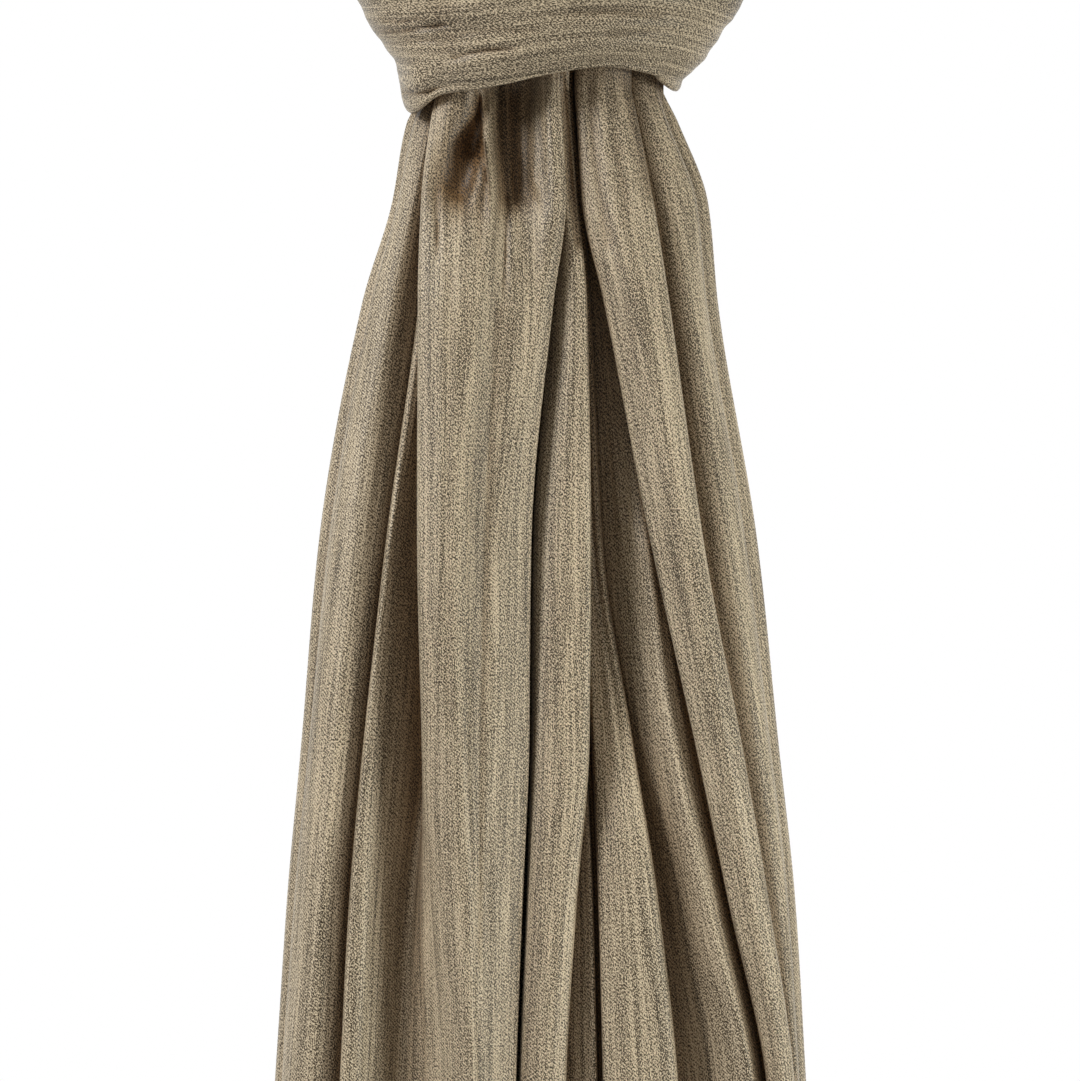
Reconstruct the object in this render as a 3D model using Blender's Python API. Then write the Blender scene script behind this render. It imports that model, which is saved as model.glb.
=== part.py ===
"""Silk crepe hijab: one long scarf folded in half and hitched over a rail, with its two halves hanging down.

The frame is in metres, +Z up, with the front facing -Y. The origin is on the axis of the rail's eye, where
the cloth is held. The tables are in millimetres, because that is how the cloth was measured.
"""

import bpy
import numpy as np

# Driving sizes, in millimetres
MM = 0.001
WALL = 1.0
SEAM_GAP = 0.3
TAIL_TOP = 26.0
TAIL_HEM = 688.0
# Distance over which the cloth runs straight into a fold and into a crisp corner, and the share of the way to
# the next corner that it may take
FOLD_LEAD = 3.2
EDGE_LEAD = 1.6
LEADS = {"end": 0.0, "bend": 0.0, "side": 0.0, "edge": EDGE_LEAD, "fold": FOLD_LEAD}
LEAD_LIMIT = 0.45
# Places along the curve at which each rounded corner has points
CORNER_SHARES = (0.0, 0.5)
# Angle in radians past which an edge is drawn sharp, such as along the cut edges of the cloth
SHARP_ANGLE = 0.9

# Cloth material: colour in linear light, roughness, metallic
CLOTH_COLOUR = (0.245, 0.205, 0.142, 1.0)
CLOTH_ROUGHNESS = 0.55
CLOTH_METALLIC = 0.0

# Heights below the rail at which the tails have sections
TAIL_LEVELS = (TAIL_TOP, 88.0, 98.0, 112.0, 125.0, 158.0, 198.0, 238.0, 305.0, 358.0, 418.0, 545.0, TAIL_HEM)

# Heights below the rail for the columns of the tables below
ACROSS_LEVELS = (88.0, 98.0, 125.0, 158.0, 238.0, 305.0, 358.0, 418.0, TAIL_HEM)
DEPTH_LEVELS = (88.0, 158.0, 258.0, 358.0, TAIL_HEM)
OPEN_LEVELS = (88.0, TAIL_HEM)

# Each row is one crease or crest, in order along the cloth. Columns: name, kind, place from left to right at
# the nine across levels, place from front to back at the five depth levels, and the distance between the
# two layers of a fold at the first and last level.
# Kinds: end, an end of the cloth; bend, a soft crest or valley; edge, a crisp corner; fold, a fold back or a
# narrow cleft; side, a broad turn.
LEFT_TAIL = (
    ("front hem", "end", (6.5, 7.2, 8.5, 4.3, -3.3, -4.0, -6.0, -8.3, -16.0),
     (-22.5, -26.0, -29.0, -31.0, -38.0), (0, 0)),
    ("pleat by hem", "bend", (2.6, 3.0, 5.6, 0.5, -6.5, -7.2, -9.2, -11.0, -19.2),
     (-24.5, -28.0, -31.0, -32.5, -39.5), (0, 0)),
    ("dark cleft", "bend", (-4.0, -4.0, -4.0, -2.5, -10.5, -11.2, -13.2, -13.8, -22.8),
     (-10.0, -27.0, -32.5, -34.0, -40.5), (0, 0)),
    ("middle pleat", "bend", (-10.5, -10.5, -10.0, -9.0, -15.5, -16.2, -18.0, -16.8, -26.6),
     (-14.0, -29.0, -34.5, -36.0, -42.0), (0, 0)),
    ("dark valley", "bend", (-15.5, -15.0, -13.0, -14.0, -20.0, -20.5, -20.0, -19.2, -30.2),
     (-13.0, -28.5, -34.5, -37.0, -43.0), (0, 0)),
    ("upper ridge", "bend", (-21.5, -20.5, -17.5, -19.0, -25.0, -25.5, -23.0, -22.0, -33.8),
     (-23.0, -31.5, -37.2, -38.5, -44.5), (0, 0)),
    ("broad crest", "bend", (-29.0, -29.5, -31.0, -31.5, -32.0, -32.5, -31.0, -27.5, -38.5),
     (-22.0, -31.0, -37.0, -34.5, -41.5), (0, 0)),
    ("main fold", "fold", (-34.6, -36.6, -39.7, -40.5, -40.5, -39.2, -37.8, -34.8, -44.0),
     (-16.0, -27.0, -32.0, -25.5, -30.0), (2.6, 3.0)),
    ("valley behind main", "fold", (-26.5, -27.2, -29.0, -30.0, -31.5, -36.0, -43.0, -46.5, -58.0),
     (-9.0, -13.5, -12.6, -16.0, -22.0), (2.6, 3.0)),
    ("left pleat", "bend", (-30.4, -31.2, -33.0, -36.0, -47.8, -54.6, -57.5, -60.0, -72.0),
     (-9.9, -18.2, -23.0, -29.0, -35.0), (0, 0)),
    ("left pleat fold", "fold", (-33.2, -34.4, -37.0, -40.2, -50.8, -58.4, -63.0, -66.3, -80.0),
     (-8.2, -17.0, -23.4, -28.5, -35.0), (2.6, 3.0)),
    ("valley behind left pleat", "fold", (-26.5, -27.2, -29.0, -31.5, -41.0, -48.0, -53.0, -55.0, -67.0),
     (-4.6, -7.5, -10.0, -13.0, -19.0), (2.4, 2.6)),
    ("shaded flank", "bend", (-29.5, -31.6, -37.5, -43.0, -54.5, -61.0, -66.0, -69.0, -80.0),
     (-3.6, -13.0, -20.0, -25.0, -31.5), (0, 0)),
    ("side crest", "bend", (-34.5, -37.6, -43.5, -50.0, -62.5, -70.0, -75.0, -79.5, -92.5),
     (-5.5, -16.5, -22.0, -26.0, -32.0), (0, 0)),
    ("side flute", "bend", (-37.6, -43.0, -48.5, -57.5, -72.0, -78.5, -83.5, -87.5, -101.5),
     (-0.5, -8.5, -10.8, -13.0, -17.0), (0, 0)),
    ("side valley", "bend", (-35.6, -40.6, -44.5, -53.0, -67.0, -73.5, -78.5, -82.0, -96.0),
     (2.0, -3.5, -5.2, -7.0, -10.0), (0, 0)),
    ("left side", "bend", (-40.6, -46.0, -51.0, -61.0, -75.8, -81.3, -86.3, -90.4, -105.0),
     (5.0, 1.5, 0.8, 0.0, -1.0), (0, 0)),
    ("second side valley", "bend", (-36.3, -41.8, -46.3, -55.0, -69.3, -75.5, -80.5, -84.5, -98.0),
     (8.0, 7.5, 8.0, 8.5, 9.0), (0, 0)),
    ("back side crest", "bend", (-37.3, -42.6, -48.3, -57.3, -71.8, -77.8, -82.8, -86.8, -100.8),
     (11.5, 14.0, 16.0, 18.0, 20.0), (0, 0)),
    ("back side valley", "bend", (-33.6, -37.0, -43.3, -51.3, -65.5, -71.5, -76.0, -80.0, -93.0),
     (14.0, 17.8, 20.9, 24.0, 28.0), (0, 0)),
    ("back shoulder", "bend", (-32.6, -35.8, -42.5, -50.5, -64.0, -69.5, -74.0, -77.5, -90.0),
     (18.6, 24.8, 29.9, 35.0, 42.0), (0, 0)),
    ("back hollow", "bend", (-28.0, -30.5, -36.0, -42.5, -54.0, -59.0, -63.0, -66.5, -78.0),
     (18.4, 24.0, 28.8, 33.5, 40.0), (0, 0)),
    ("back crest", "bend", (-22.5, -24.5, -28.0, -32.5, -41.0, -44.0, -47.0, -50.0, -61.0),
     (22.0, 29.0, 34.5, 40.0, 48.5), (0, 0)),
    ("back fold", "fold", (-15.5, -16.4, -19.0, -22.0, -27.0, -28.0, -30.0, -33.0, -42.0),
     (19.0, 25.0, 30.0, 35.0, 42.5), (2.6, 3.0)),
    ("valley behind back fold", "fold", (-25.0, -26.1, -29.0, -33.0, -41.0, -44.0, -47.0, -50.0, -61.0),
     (14.6, 20.5, 25.5, 30.5, 37.0), (2.2, 2.6)),
    ("inner crest", "bend", (-12.0, -12.3, -13.0, -14.0, -15.0, -15.0, -16.0, -18.0, -26.0),
     (14.8, 20.5, 25.5, 30.5, 37.5), (0, 0)),
    ("inner hollow", "bend", (-6.5, -6.8, -7.0, -7.5, -8.5, -9.0, -10.0, -11.5, -19.0),
     (11.8, 17.0, 21.8, 26.5, 32.5), (0, 0)),
    ("centre fold", "fold", (1.0, 1.0, 1.0, 0.5, -1.0, -1.5, -2.5, -4.0, -11.0),
     (10.8, 16.0, 20.8, 25.5, 31.0), (3.0, 4.0)),
    ("inner fold one", "side", (-31.0, -33.0, -40.0, -48.0, -61.0, -67.0, -72.0, -76.0, -94.0),
     (7.0, 11.0, 14.5, 18.0, 21.5), (3.6, 12.0)),
    ("inner fold two", "side", (-4.0, -4.0, -4.0, -4.0, -6.0, -7.0, -8.0, -9.0, -4.0),
     (3.4, 6.2, 8.3, 10.5, 10.0), (3.6, 11.0)),
    ("inner fold three", "side", (-12.0, -13.1, -16.0, -24.0, -58.0, -67.0, -72.0, -76.0, -94.0),
     (-0.2, 1.4, 2.2, 3.0, -1.0), (3.4, 11.0)),
    ("inner end", "end", (-4.0, -4.0, -4.0, -4.0, -6.0, -7.0, -8.0, -9.0, -4.0),
     (-4.0, -2.5, -2.2, -2.0, -8.0), (0, 0)),
)
RIGHT_TAIL = (
    ("hidden end", "end", (4.0, 4.3, 7.0, 9.0, 4.0, 3.0, 1.0, -1.0, -6.0),
     (-1.5, -2.0, -5.0, -9.0, -12.0), (0, 0)),
    ("deep wall of gap", "bend", (-1.4, -0.6, 3.4, 2.6, -3.0, -4.0, -4.6, -6.4, -12.6),
     (-4.5, -16.0, -21.5, -24.0, -28.0), (0, 0)),
    ("edge by gap", "bend", (-1.6, -0.8, 3.2, 5.4, -0.6, -1.7, -3.9, -6.9, -13.2),
     (-14.0, -20.0, -26.0, -31.0, -37.0), (0, 0)),
    ("second pleat", "bend", (4.5, 5.5, 9.0, 10.4, 8.0, 8.0, 5.0, 2.0, -4.0),
     (-17.5, -23.5, -29.5, -34.5, -40.5), (0, 0)),
    ("second fold", "fold", (9.0, 9.9, 12.2, 15.3, 16.7, 16.3, 11.9, 8.3, 2.0),
     (-17.0, -22.5, -27.5, -32.0, -38.5), (2.4, 3.0)),
    ("valley behind second", "fold", (1.5, 1.9, 6.0, 8.0, 6.0, 6.0, 3.0, 1.5, -6.0),
     (-12.0, -15.0, -19.0, -22.2, -28.2), (2.4, 2.8)),
    ("third shoulder", "edge", (4.0, 4.6, 7.6, 9.6, 11.6, 15.0, 17.3, 18.8, 22.8),
     (-10.5, -12.5, -12.0, -26.4, -33.4), (0, 0)),
    ("cleft floor", "fold", (5.2, 5.8, 8.8, 10.8, 12.8, 16.2, 18.5, 20.0, 24.0),
     (-6.8, -7.5, -7.2, -17.0, -21.0), (2.2, 2.4)),
    ("fourth edge", "edge", (6.4, 7.0, 10.0, 12.0, 14.0, 17.4, 19.7, 21.2, 25.2),
     (-11.0, -12.5, -12.4, -28.5, -36.0), (0, 0)),
    ("fourth crest", "bend", (8.6, 9.4, 12.2, 14.2, 17.5, 24.0, 28.0, 31.5, 41.0),
     (-12.0, -14.0, -12.6, -31.5, -38.5), (0, 0)),
    ("fourth fold", "fold", (11.0, 11.8, 14.4, 16.6, 20.6, 30.5, 39.0, 45.6, 60.0),
     (-11.0, -13.0, -12.2, -29.0, -36.0), (2.8, 3.0)),
    ("valley behind fourth", "fold", (8.8, 9.4, 12.0, 13.6, 17.4, 24.0, 31.0, 36.5, 50.0),
     (-7.6, -9.0, -8.4, -15.5, -21.5), (2.4, 2.6)),
    ("recessed panel", "bend", (11.5, 12.7, 16.5, 19.5, 27.0, 35.0, 44.0, 54.0, 72.0),
     (-6.0, -8.0, -13.0, -17.8, -23.5), (0, 0)),
    ("recessed crest", "bend", (12.8, 14.1, 18.5, 23.5, 35.0, 42.5, 54.0, 69.6, 88.8),
     (-6.2, -9.0, -17.0, -28.5, -35.0), (0, 0)),
    ("recessed foot", "bend", (13.8, 15.2, 20.0, 25.5, 38.0, 48.8, 60.2, 73.0, 91.4),
     (-6.4, -9.0, -14.5, -22.5, -27.5), (0, 0)),
    ("valley under sixth", "fold", (17.5, 19.3, 24.0, 29.0, 42.5, 56.0, 66.8, 78.5, 96.4),
     (-8.6, -13.0, -16.5, -21.5, -26.0), (2.6, 3.0)),
    ("sixth left fold", "fold", (11.4, 12.2, 14.0, 21.4, 37.2, 51.6, 62.8, 75.6, 93.0),
     (-16.0, -21.5, -25.0, -28.0, -33.0), (2.4, 3.0)),
    ("sixth pleat", "bend", (20.0, 21.0, 25.5, 33.0, 48.0, 60.0, 69.5, 80.6, 97.6),
     (-20.5, -28.5, -31.0, -33.0, -39.0), (0, 0)),
    ("sixth right fold", "fold", (31.0, 33.0, 38.0, 43.0, 54.0, 66.7, 76.0, 84.6, 101.6),
     (-17.0, -24.0, -28.5, -29.0, -33.5), (2.6, 3.0)),
    ("valley behind sixth", "fold", (24.5, 26.3, 31.0, 36.0, 48.0, 60.5, 70.5, 80.4, 98.0),
     (-9.5, -14.5, -18.0, -22.0, -27.0), (2.2, 2.4)),
    ("right side crest", "bend", (34.5, 37.2, 44.5, 50.5, 63.5, 74.5, 81.5, 86.3, 102.3),
     (-11.5, -17.5, -19.5, -21.0, -25.5), (0, 0)),
    ("right side flute", "bend", (40.0, 44.0, 54.3, 57.0, 69.5, 77.5, 83.0, 86.5, 102.3),
     (-7.2, -10.0, -11.5, -13.0, -16.0), (0, 0)),
    ("right side valley", "bend", (38.5, 39.6, 48.5, 52.5, 65.0, 73.0, 78.5, 82.0, 97.0),
     (-4.2, -5.0, -6.0, -7.0, -9.5), (0, 0)),
    ("right side", "bend", (42.8, 48.8, 58.8, 61.4, 74.8, 81.4, 87.2, 91.0, 106.0),
     (-1.2, 0.5, 0.5, 0.5, 0.0), (0, 0)),
    ("second right valley", "bend", (37.2, 41.4, 50.5, 55.0, 67.5, 75.5, 80.5, 83.5, 98.5),
     (3.2, 7.0, 8.0, 9.0, 10.0), (0, 0)),
    ("right back side crest", "bend", (36.8, 42.6, 53.0, 57.6, 70.2, 78.2, 83.2, 86.2, 101.8),
     (8.2, 13.5, 15.8, 18.0, 21.0), (0, 0)),
    ("right back side valley", "bend", (34.4, 38.6, 47.5, 51.6, 63.5, 71.0, 76.0, 79.0, 93.5),
     (12.5, 18.5, 21.8, 25.0, 29.5), (0, 0)),
    ("right back shoulder", "bend", (34.0, 38.0, 45.5, 49.5, 61.0, 68.5, 73.5, 76.5, 90.5),
     (17.5, 24.0, 29.0, 34.0, 41.0), (0, 0)),
    ("right back fold", "fold", (23.5, 25.0, 29.0, 33.0, 41.0, 45.0, 48.0, 51.0, 62.0),
     (19.0, 25.5, 30.8, 36.0, 43.5), (2.6, 3.0)),
    ("valley behind right back", "fold", (31.0, 32.6, 37.0, 41.0, 50.0, 55.0, 59.0, 62.0, 74.0),
     (14.8, 21.2, 26.1, 31.0, 37.5), (2.2, 2.4)),
    ("right back crest", "bend", (16.0, 16.5, 18.0, 20.0, 22.0, 23.0, 24.0, 25.0, 28.0),
     (17.0, 23.5, 28.8, 34.0, 41.0), (0, 0)),
    ("centre valley", "bend", (9.0, 9.0, 9.0, 9.5, 9.5, 9.5, 9.5, 9.0, 7.0),
     (17.2, 23.0, 28.0, 33.0, 40.0), (0, 0)),
    ("centre crest", "bend", (3.0, 2.8, 2.5, 2.0, 1.0, 0.5, -0.5, -1.5, -7.0),
     (20.6, 27.2, 32.9, 38.5, 46.0), (0, 0)),
    ("right centre fold", "fold", (-4.0, -4.3, -5.0, -6.0, -8.0, -9.0, -10.0, -11.0, -18.0),
     (20.0, 26.5, 32.0, 37.5, 44.5), (2.6, 3.2)),
    ("return under back", "bend", (16.0, 16.3, 17.0, 18.0, 20.0, 21.0, 22.0, 23.0, 26.0),
     (11.8, 17.5, 22.5, 27.5, 33.5), (0, 0)),
    ("inner fold one", "side", (32.0, 35.8, 46.0, 49.0, 60.0, 67.0, 69.0, 72.0, 84.0),
     (8.2, 12.5, 16.8, 21.0, 25.0), (3.6, 10.0)),
    ("inner fold two", "side", (6.5, 6.5, 6.5, 6.5, 12.0, 15.0, 19.0, 22.0, 34.0),
     (4.6, 8.0, 10.8, 13.5, 15.0), (3.6, 10.0)),
    ("inner fold three", "side", (22.0, 24.2, 30.0, 36.0, 52.0, 60.0, 66.0, 70.0, 82.0),
     (1.2, 3.6, 4.8, 6.0, 5.0), (3.2, 10.0)),
    ("inner end", "end", (16.0, 16.0, 16.5, 13.0, 14.0, 18.0, 21.0, 24.0, 36.0),
     (-0.6, 0.0, 0.0, 0.0, -2.0), (0, 0)),
)

# The hitch is one ribbon from the left tail over the rail, round the front and back over the rail to the
# right tail. Columns: centre (left to right, front to back, height), direction across the ribbon from its
# lower to its upper edge, width, crown, pleat depth, and how far the crease lies above the lower edge
HITCH = (
    ((-21.0, -12.0, -25.7), (-1.0, 0.0, 0.0), 36.0, 3.0, 1.2, 1.5),
    ((-21.0, -12.0, -19.0), (-1.0, 0.0, 0.0), 38.0, 3.0, 1.4, 1.5),
    ((-23.5, -19.5, -1.0), (-1.0, 0.0, 0.0), 41.0, 3.0, 1.6, 1.5),
    ((-24.5, -14.5, 12.5), (-1.0, 0.0, 0.0), 42.0, 3.0, 1.6, 1.5),
    ((-25.0, 0.0, 19.0), (-1.0, 0.0, 0.0), 42.0, 3.0, 1.6, 1.5),
    ((-25.5, 14.5, 12.5), (-1.0, 0.0, 0.0), 42.0, 3.0, 1.6, 1.5),
    ((-27.0, 20.5, -1.0), (-1.0, 0.0, 0.05), 43.0, 3.2, 1.6, 1.6),
    ((-31.0, 25.5, -16.0), (-0.93, 0.0, 0.36), 47.0, 3.6, 1.4, 1.8),
    ((-40.0, 27.0, -30.0), (-0.75, -0.05, 0.66), 54.0, 4.6, 1.1, 2.2),
    ((-49.0, 16.0, -42.0), (-0.42, 0.0, 0.90), 62.0, 7.0, 0.8, 5.0),
    ((-49.5, -4.0, -51.0), (-0.18, 0.0, 0.98), 73.0, 7.9, 0.6, 10.5),
    ((-41.0, -21.0, -53.0), (-0.10, -0.05, 1.0), 73.0, 7.5, 0.5, 6.5),
    ((-23.0, -31.0, -53.0), (0.0, -0.07, 1.0), 70.0, 7.0, 0.5, 1.6),
    ((0.0, -34.5, -50.0), (0.0, -0.08, 1.0), 66.0, 6.5, 0.5, 1.5),
    ((23.0, -31.5, -48.0), (0.0, -0.07, 1.0), 64.5, 7.0, 0.5, 1.5),
    ((43.0, -21.0, -49.0), (0.12, -0.05, 1.0), 68.0, 10.0, 0.5, 3.0),
    ((53.0, -4.0, -50.0), (0.24, 0.0, 0.97), 75.5, 11.9, 0.6, 4.9),
    ((50.5, 16.0, -41.0), (0.45, 0.0, 0.88), 62.0, 9.0, 0.8, 3.5),
    ((41.0, 27.0, -29.5), (0.75, -0.05, 0.66), 53.0, 5.0, 1.1, 2.2),
    ((31.5, 25.5, -16.0), (0.93, 0.0, 0.36), 47.0, 3.8, 1.4, 1.8),
    ((27.5, 20.5, -1.0), (1.0, 0.0, 0.05), 43.0, 3.2, 1.6, 1.6),
    ((26.0, 14.5, 12.0), (1.0, 0.0, 0.0), 42.0, 3.0, 1.6, 1.5),
    ((25.5, 0.0, 18.5), (1.0, 0.0, 0.0), 41.0, 3.0, 1.6, 1.5),
    ((25.0, -14.5, 12.0), (1.0, 0.0, 0.0), 41.0, 3.0, 1.6, 1.5),
    ((24.0, -19.5, -1.5), (1.0, 0.0, 0.0), 40.0, 3.0, 1.6, 1.5),
    ((21.5, -12.0, -19.0), (1.0, 0.0, 0.0), 38.0, 3.0, 1.4, 1.5),
    ((21.5, -12.0, -25.7), (1.0, 0.0, 0.0), 36.0, 3.0, 1.2, 1.5),
)
# Stations of the hitch at which its three stretches meet
LEFT_SEAM = 7.5
RIGHT_SEAM = 18.5
# Sections along each loop and along the band, and the step between stations over which a direction is taken
LOOP_RINGS = 9
BAND_RINGS = 17
STATION_STEP = 0.02

# Section of the ribbon, from the inner slit down round the lower edge, up the outside and in over the upper
# edge. Columns: name, kind, place across as a share of the width, distance out, share of the crown, share of
# the pleat depth, share of the crease's distance across and inward, opening of a fold
RIBBON = (
    ("lower lip", "end", 0.02, -2.6, 0.0, 0.0, 0.0, 0.0, 0.0),
    ("inner low", "bend", -0.30, -2.4, 0.0, 0.0, 0.0, 0.0, 0.0),
    ("lower edge", "fold across", -0.50, -0.4, 0.0, 0.0, 0.0, 0.0, 2.4),
    ("rim", "bend", -0.50, 1.0, 0.0, 0.0, 0.8, 0.0, 0.0),
    ("crease", "bend", -0.50, 1.6, 0.0, 0.0, 1.0, 0.0, 0.0),
    ("low bowl", "bend", -0.35, 4.0, 0.50, 0.4, 0.0, 0.575, 0.0),
    ("low crown", "bend", -0.21, 4.6, 0.64, -1.0, 0.0, 0.1, 0.0),
    ("crown", "bend", -0.05, 4.8, 0.97, 1.0, 0.0, 0.0, 0.0),
    ("high crown", "bend", 0.12, 4.8, 1.0, -1.0, 0.0, 0.0, 0.0),
    ("high bowl", "bend", 0.28, 4.6, 0.75, 0.8, 0.0, 0.0, 0.0),
    ("upper bowl", "bend", 0.41, 4.0, 0.42, 0.0, 0.0, 0.0, 0.0),
    ("upper edge", "fold across", 0.50, 0.8, 0.12, 0.0, 0.0, 0.0, -3.6),
    ("inner high", "bend", 0.33, -2.4, 0.0, 0.0, 0.0, 0.0, 0.0),
    ("upper lip", "end", 0.09, -2.6, 0.0, 0.0, 0.0, 0.0, 0.0),
)


def smooth_value(levels, values, level):
    """A value between the columns of a table, with no overshoot between neighbours."""
    levels = np.asarray(levels, float)
    values = np.asarray(values, float)
    level = min(max(level, levels[0]), levels[-1])
    steps = np.diff(levels)
    slopes = np.diff(values) / steps
    ends = np.concatenate([[slopes[0]], np.zeros(len(slopes) - 1), [slopes[-1]]])
    for index in range(1, len(slopes)):
        before, after = slopes[index - 1], slopes[index]
        if before * after > 0:
            ends[index] = 2 * before * after / (before + after)
    index = min(int(np.searchsorted(levels, level, side="right")) - 1, len(steps) - 1)
    share = (level - levels[index]) / steps[index]
    rise = share * share * (3 - 2 * share)
    start_bend = share * (1 - share) ** 2
    end_bend = -share * share * (1 - share)
    bend = steps[index] * (ends[index] * start_bend + ends[index + 1] * end_bend)
    return values[index] * (1 - rise) + values[index + 1] * rise + bend


def unit(vector):
    return vector / np.linalg.norm(vector)


def tail_corners(rows, level):
    """Corners of a tail's section at one height: place, lead before it and lead after it."""
    places = []
    for _, _, across, depth, _ in rows:
        places.append(np.array([smooth_value(ACROSS_LEVELS, across, level),
                                smooth_value(DEPTH_LEVELS, depth, level)]))
    corners = []
    for index, (_, kind, _, _, opening) in enumerate(rows):
        place = places[index]
        lead = LEADS[kind]
        if opening[0]:
            half = smooth_value(OPEN_LEVELS, opening, level) / 2
            aside = unit(unit(places[index + 1] - place) - unit(places[index - 1] - place))
            corners.append((place - aside * half, lead, 0))
            corners.append((place + aside * half, 0, lead))
        else:
            corners.append((place, lead, lead))
    return corners


def ribbon_corners(width, crown, pleat, crease):
    """Corners of the hitch's section: distance across, distance out, and leads."""
    corners = []
    for _, kind, share, out, crown_share, pleat_share, crease_across, crease_in, opening in RIBBON:
        w = share * width + crease_across * crease
        n = out + crown_share * crown + pleat_share * pleat - crease_in * crease
        if kind in ("end", "bend"):
            corners.append(((w, n), 0, 0))
        elif kind == "fold across":
            corners.append(((w, n - opening / 2), FOLD_LEAD, 0))
            corners.append(((w, n + opening / 2), 0, 0))
    return corners


def curve_points(corners):
    """Points and unit normals along the smooth curve that rounds the corners off."""
    places = []
    is_lead = []
    for index, (place, before, after) in enumerate(corners):
        place = np.array(place)
        if before:
            toward = np.array(corners[index - 1][0]) - place
            reach = min(before / np.linalg.norm(toward), LEAD_LIMIT)
            places.append(place + toward * reach)
            is_lead.append(True)
        places.append(place)
        is_lead.append(False)
        if after:
            toward = np.array(corners[index + 1][0]) - place
            reach = min(after / np.linalg.norm(toward), LEAD_LIMIT)
            places.append(place + toward * reach)
            is_lead.append(True)
    points = [places[0]]
    directions = [places[1] - places[0]]
    for index in range(1, len(places) - 1):
        start = (places[index - 1] + places[index]) / 2
        end = (places[index] + places[index + 1]) / 2
        shares = CORNER_SHARES[:1] if is_lead[index] else CORNER_SHARES
        for share in shares:
            before_corner = start * (1 - share) + places[index] * share
            after_corner = places[index] * (1 - share) + end * share
            points.append(before_corner * (1 - share) + after_corner * share)
            directions.append(after_corner - before_corner)
    points.append((places[-2] + places[-1]) / 2)
    directions.append(places[-1] - places[-2])
    points.append(places[-1])
    directions.append(places[-1] - places[-2])
    points = np.array(points)
    directions = np.array(directions)
    directions /= np.linalg.norm(directions, axis=1)[:, None]
    normals = np.stack([directions[:, 1], -directions[:, 0]], axis=1)
    return points, normals


def walled_mesh(name, outer, inner):
    """A closed wall between two grids of points, each with a row for every section."""
    outer = np.array(outer)
    inner = np.array(inner)
    rows, columns, _ = outer.shape
    vertices = np.concatenate([outer.reshape(-1, 3), inner.reshape(-1, 3)]) * MM
    offset = rows * columns
    faces = []
    for row in range(rows - 1):
        for column in range(columns - 1):
            a = row * columns + column
            b = a + 1
            c = a + columns + 1
            d = a + columns
            faces.append((a, b, c, d))
            faces.append((offset + d, offset + c, offset + b, offset + a))
    for column in range(columns - 1):
        top = column
        foot = (rows - 1) * columns + column
        faces.append((offset + top, offset + top + 1, top + 1, top))
        faces.append((foot, foot + 1, offset + foot + 1, offset + foot))
    for row in range(rows - 1):
        start = row * columns
        end = start + columns - 1
        faces.append((start, start + columns, offset + start + columns, offset + start))
        faces.append((offset + end, offset + end + columns, end + columns, end))
    mesh = bpy.data.meshes.new(name)
    mesh.from_pydata(vertices.tolist(), [], faces)
    mesh.update()
    return mesh


def add_cloth(name, outer, inner, material):
    """Adds one stretch of the cloth as its own object."""
    mesh = walled_mesh(name, outer, inner)
    mesh.materials.append(material)
    mesh.shade_smooth()
    mesh.set_sharp_from_angle(angle=SHARP_ANGLE)
    piece = bpy.data.objects.new(name, mesh)
    bpy.context.scene.collection.objects.link(piece)
    return piece


def add_tail(name, rows, material):
    outer = []
    inner = []
    for level in TAIL_LEVELS:
        points, normals = curve_points(tail_corners(rows, level))
        heights = np.full((len(points), 1), -level)
        outer.append(np.hstack([points - normals * WALL / 2, heights]))
        inner.append(np.hstack([points + normals * WALL / 2, heights]))
    return add_cloth(name, outer, inner, material)


def hitch_values(station):
    """Centre, direction across, and the section's sizes between the rows of the hitch's table."""
    table = np.array([(*centre, *across, *sizes) for centre, across, *sizes in HITCH], float)
    index = min(int(station), len(table) - 2)
    share = station - index
    before = table[max(index - 1, 0)]
    start = table[index]
    end = table[index + 1]
    after = table[min(index + 2, len(table) - 1)]
    start_slope = (end - before) / 2
    end_slope = (after - start) / 2
    cube = share ** 3
    square = share ** 2
    return (start * (2 * cube - 3 * square + 1) + start_slope * (cube - 2 * square + share)
            + end * (3 * square - 2 * cube) + end_slope * (cube - square))


def hitch_ring(station, shift):
    """Outer and inner points of the ribbon's wall at one station, moved along it by the shift."""
    values = hitch_values(station)
    last = len(HITCH) - 1
    ahead = hitch_values(min(station + STATION_STEP, last))[:3]
    behind = hitch_values(max(station - STATION_STEP, 0))[:3]
    along = unit(ahead - behind)
    across = values[3:6] - along * np.dot(values[3:6], along)
    across = unit(across)
    out = np.cross(along, across)
    points, normals = curve_points(ribbon_corners(*values[6:]))
    centre = values[:3] + along * shift
    frame = np.stack([across, out])
    outer = centre + (points + normals * WALL / 2) @ frame
    inner = centre + (points - normals * WALL / 2) @ frame
    return outer, inner


def add_hitch(name, first, last, rings, material):
    """Adds one stretch of the hitch between two stations, half the seam's gap short of each."""
    outer = []
    inner = []
    for station in np.linspace(first, last, rings):
        shift = 0.0
        if station == first and first > 0:
            shift = SEAM_GAP / 2
        if station == last and last < len(HITCH) - 1:
            shift = -SEAM_GAP / 2
        ring_outer, ring_inner = hitch_ring(station, shift)
        outer.append(ring_outer)
        inner.append(ring_inner)
    return add_cloth(name, outer, inner, material)


def cloth_material():
    material = bpy.data.materials.new("silk_crepe")
    material.use_nodes = True
    shader = material.node_tree.nodes["Principled BSDF"]
    shader.inputs["Base Color"].default_value = CLOTH_COLOUR
    shader.inputs["Roughness"].default_value = CLOTH_ROUGHNESS
    shader.inputs["Metallic"].default_value = CLOTH_METALLIC
    return material


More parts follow.
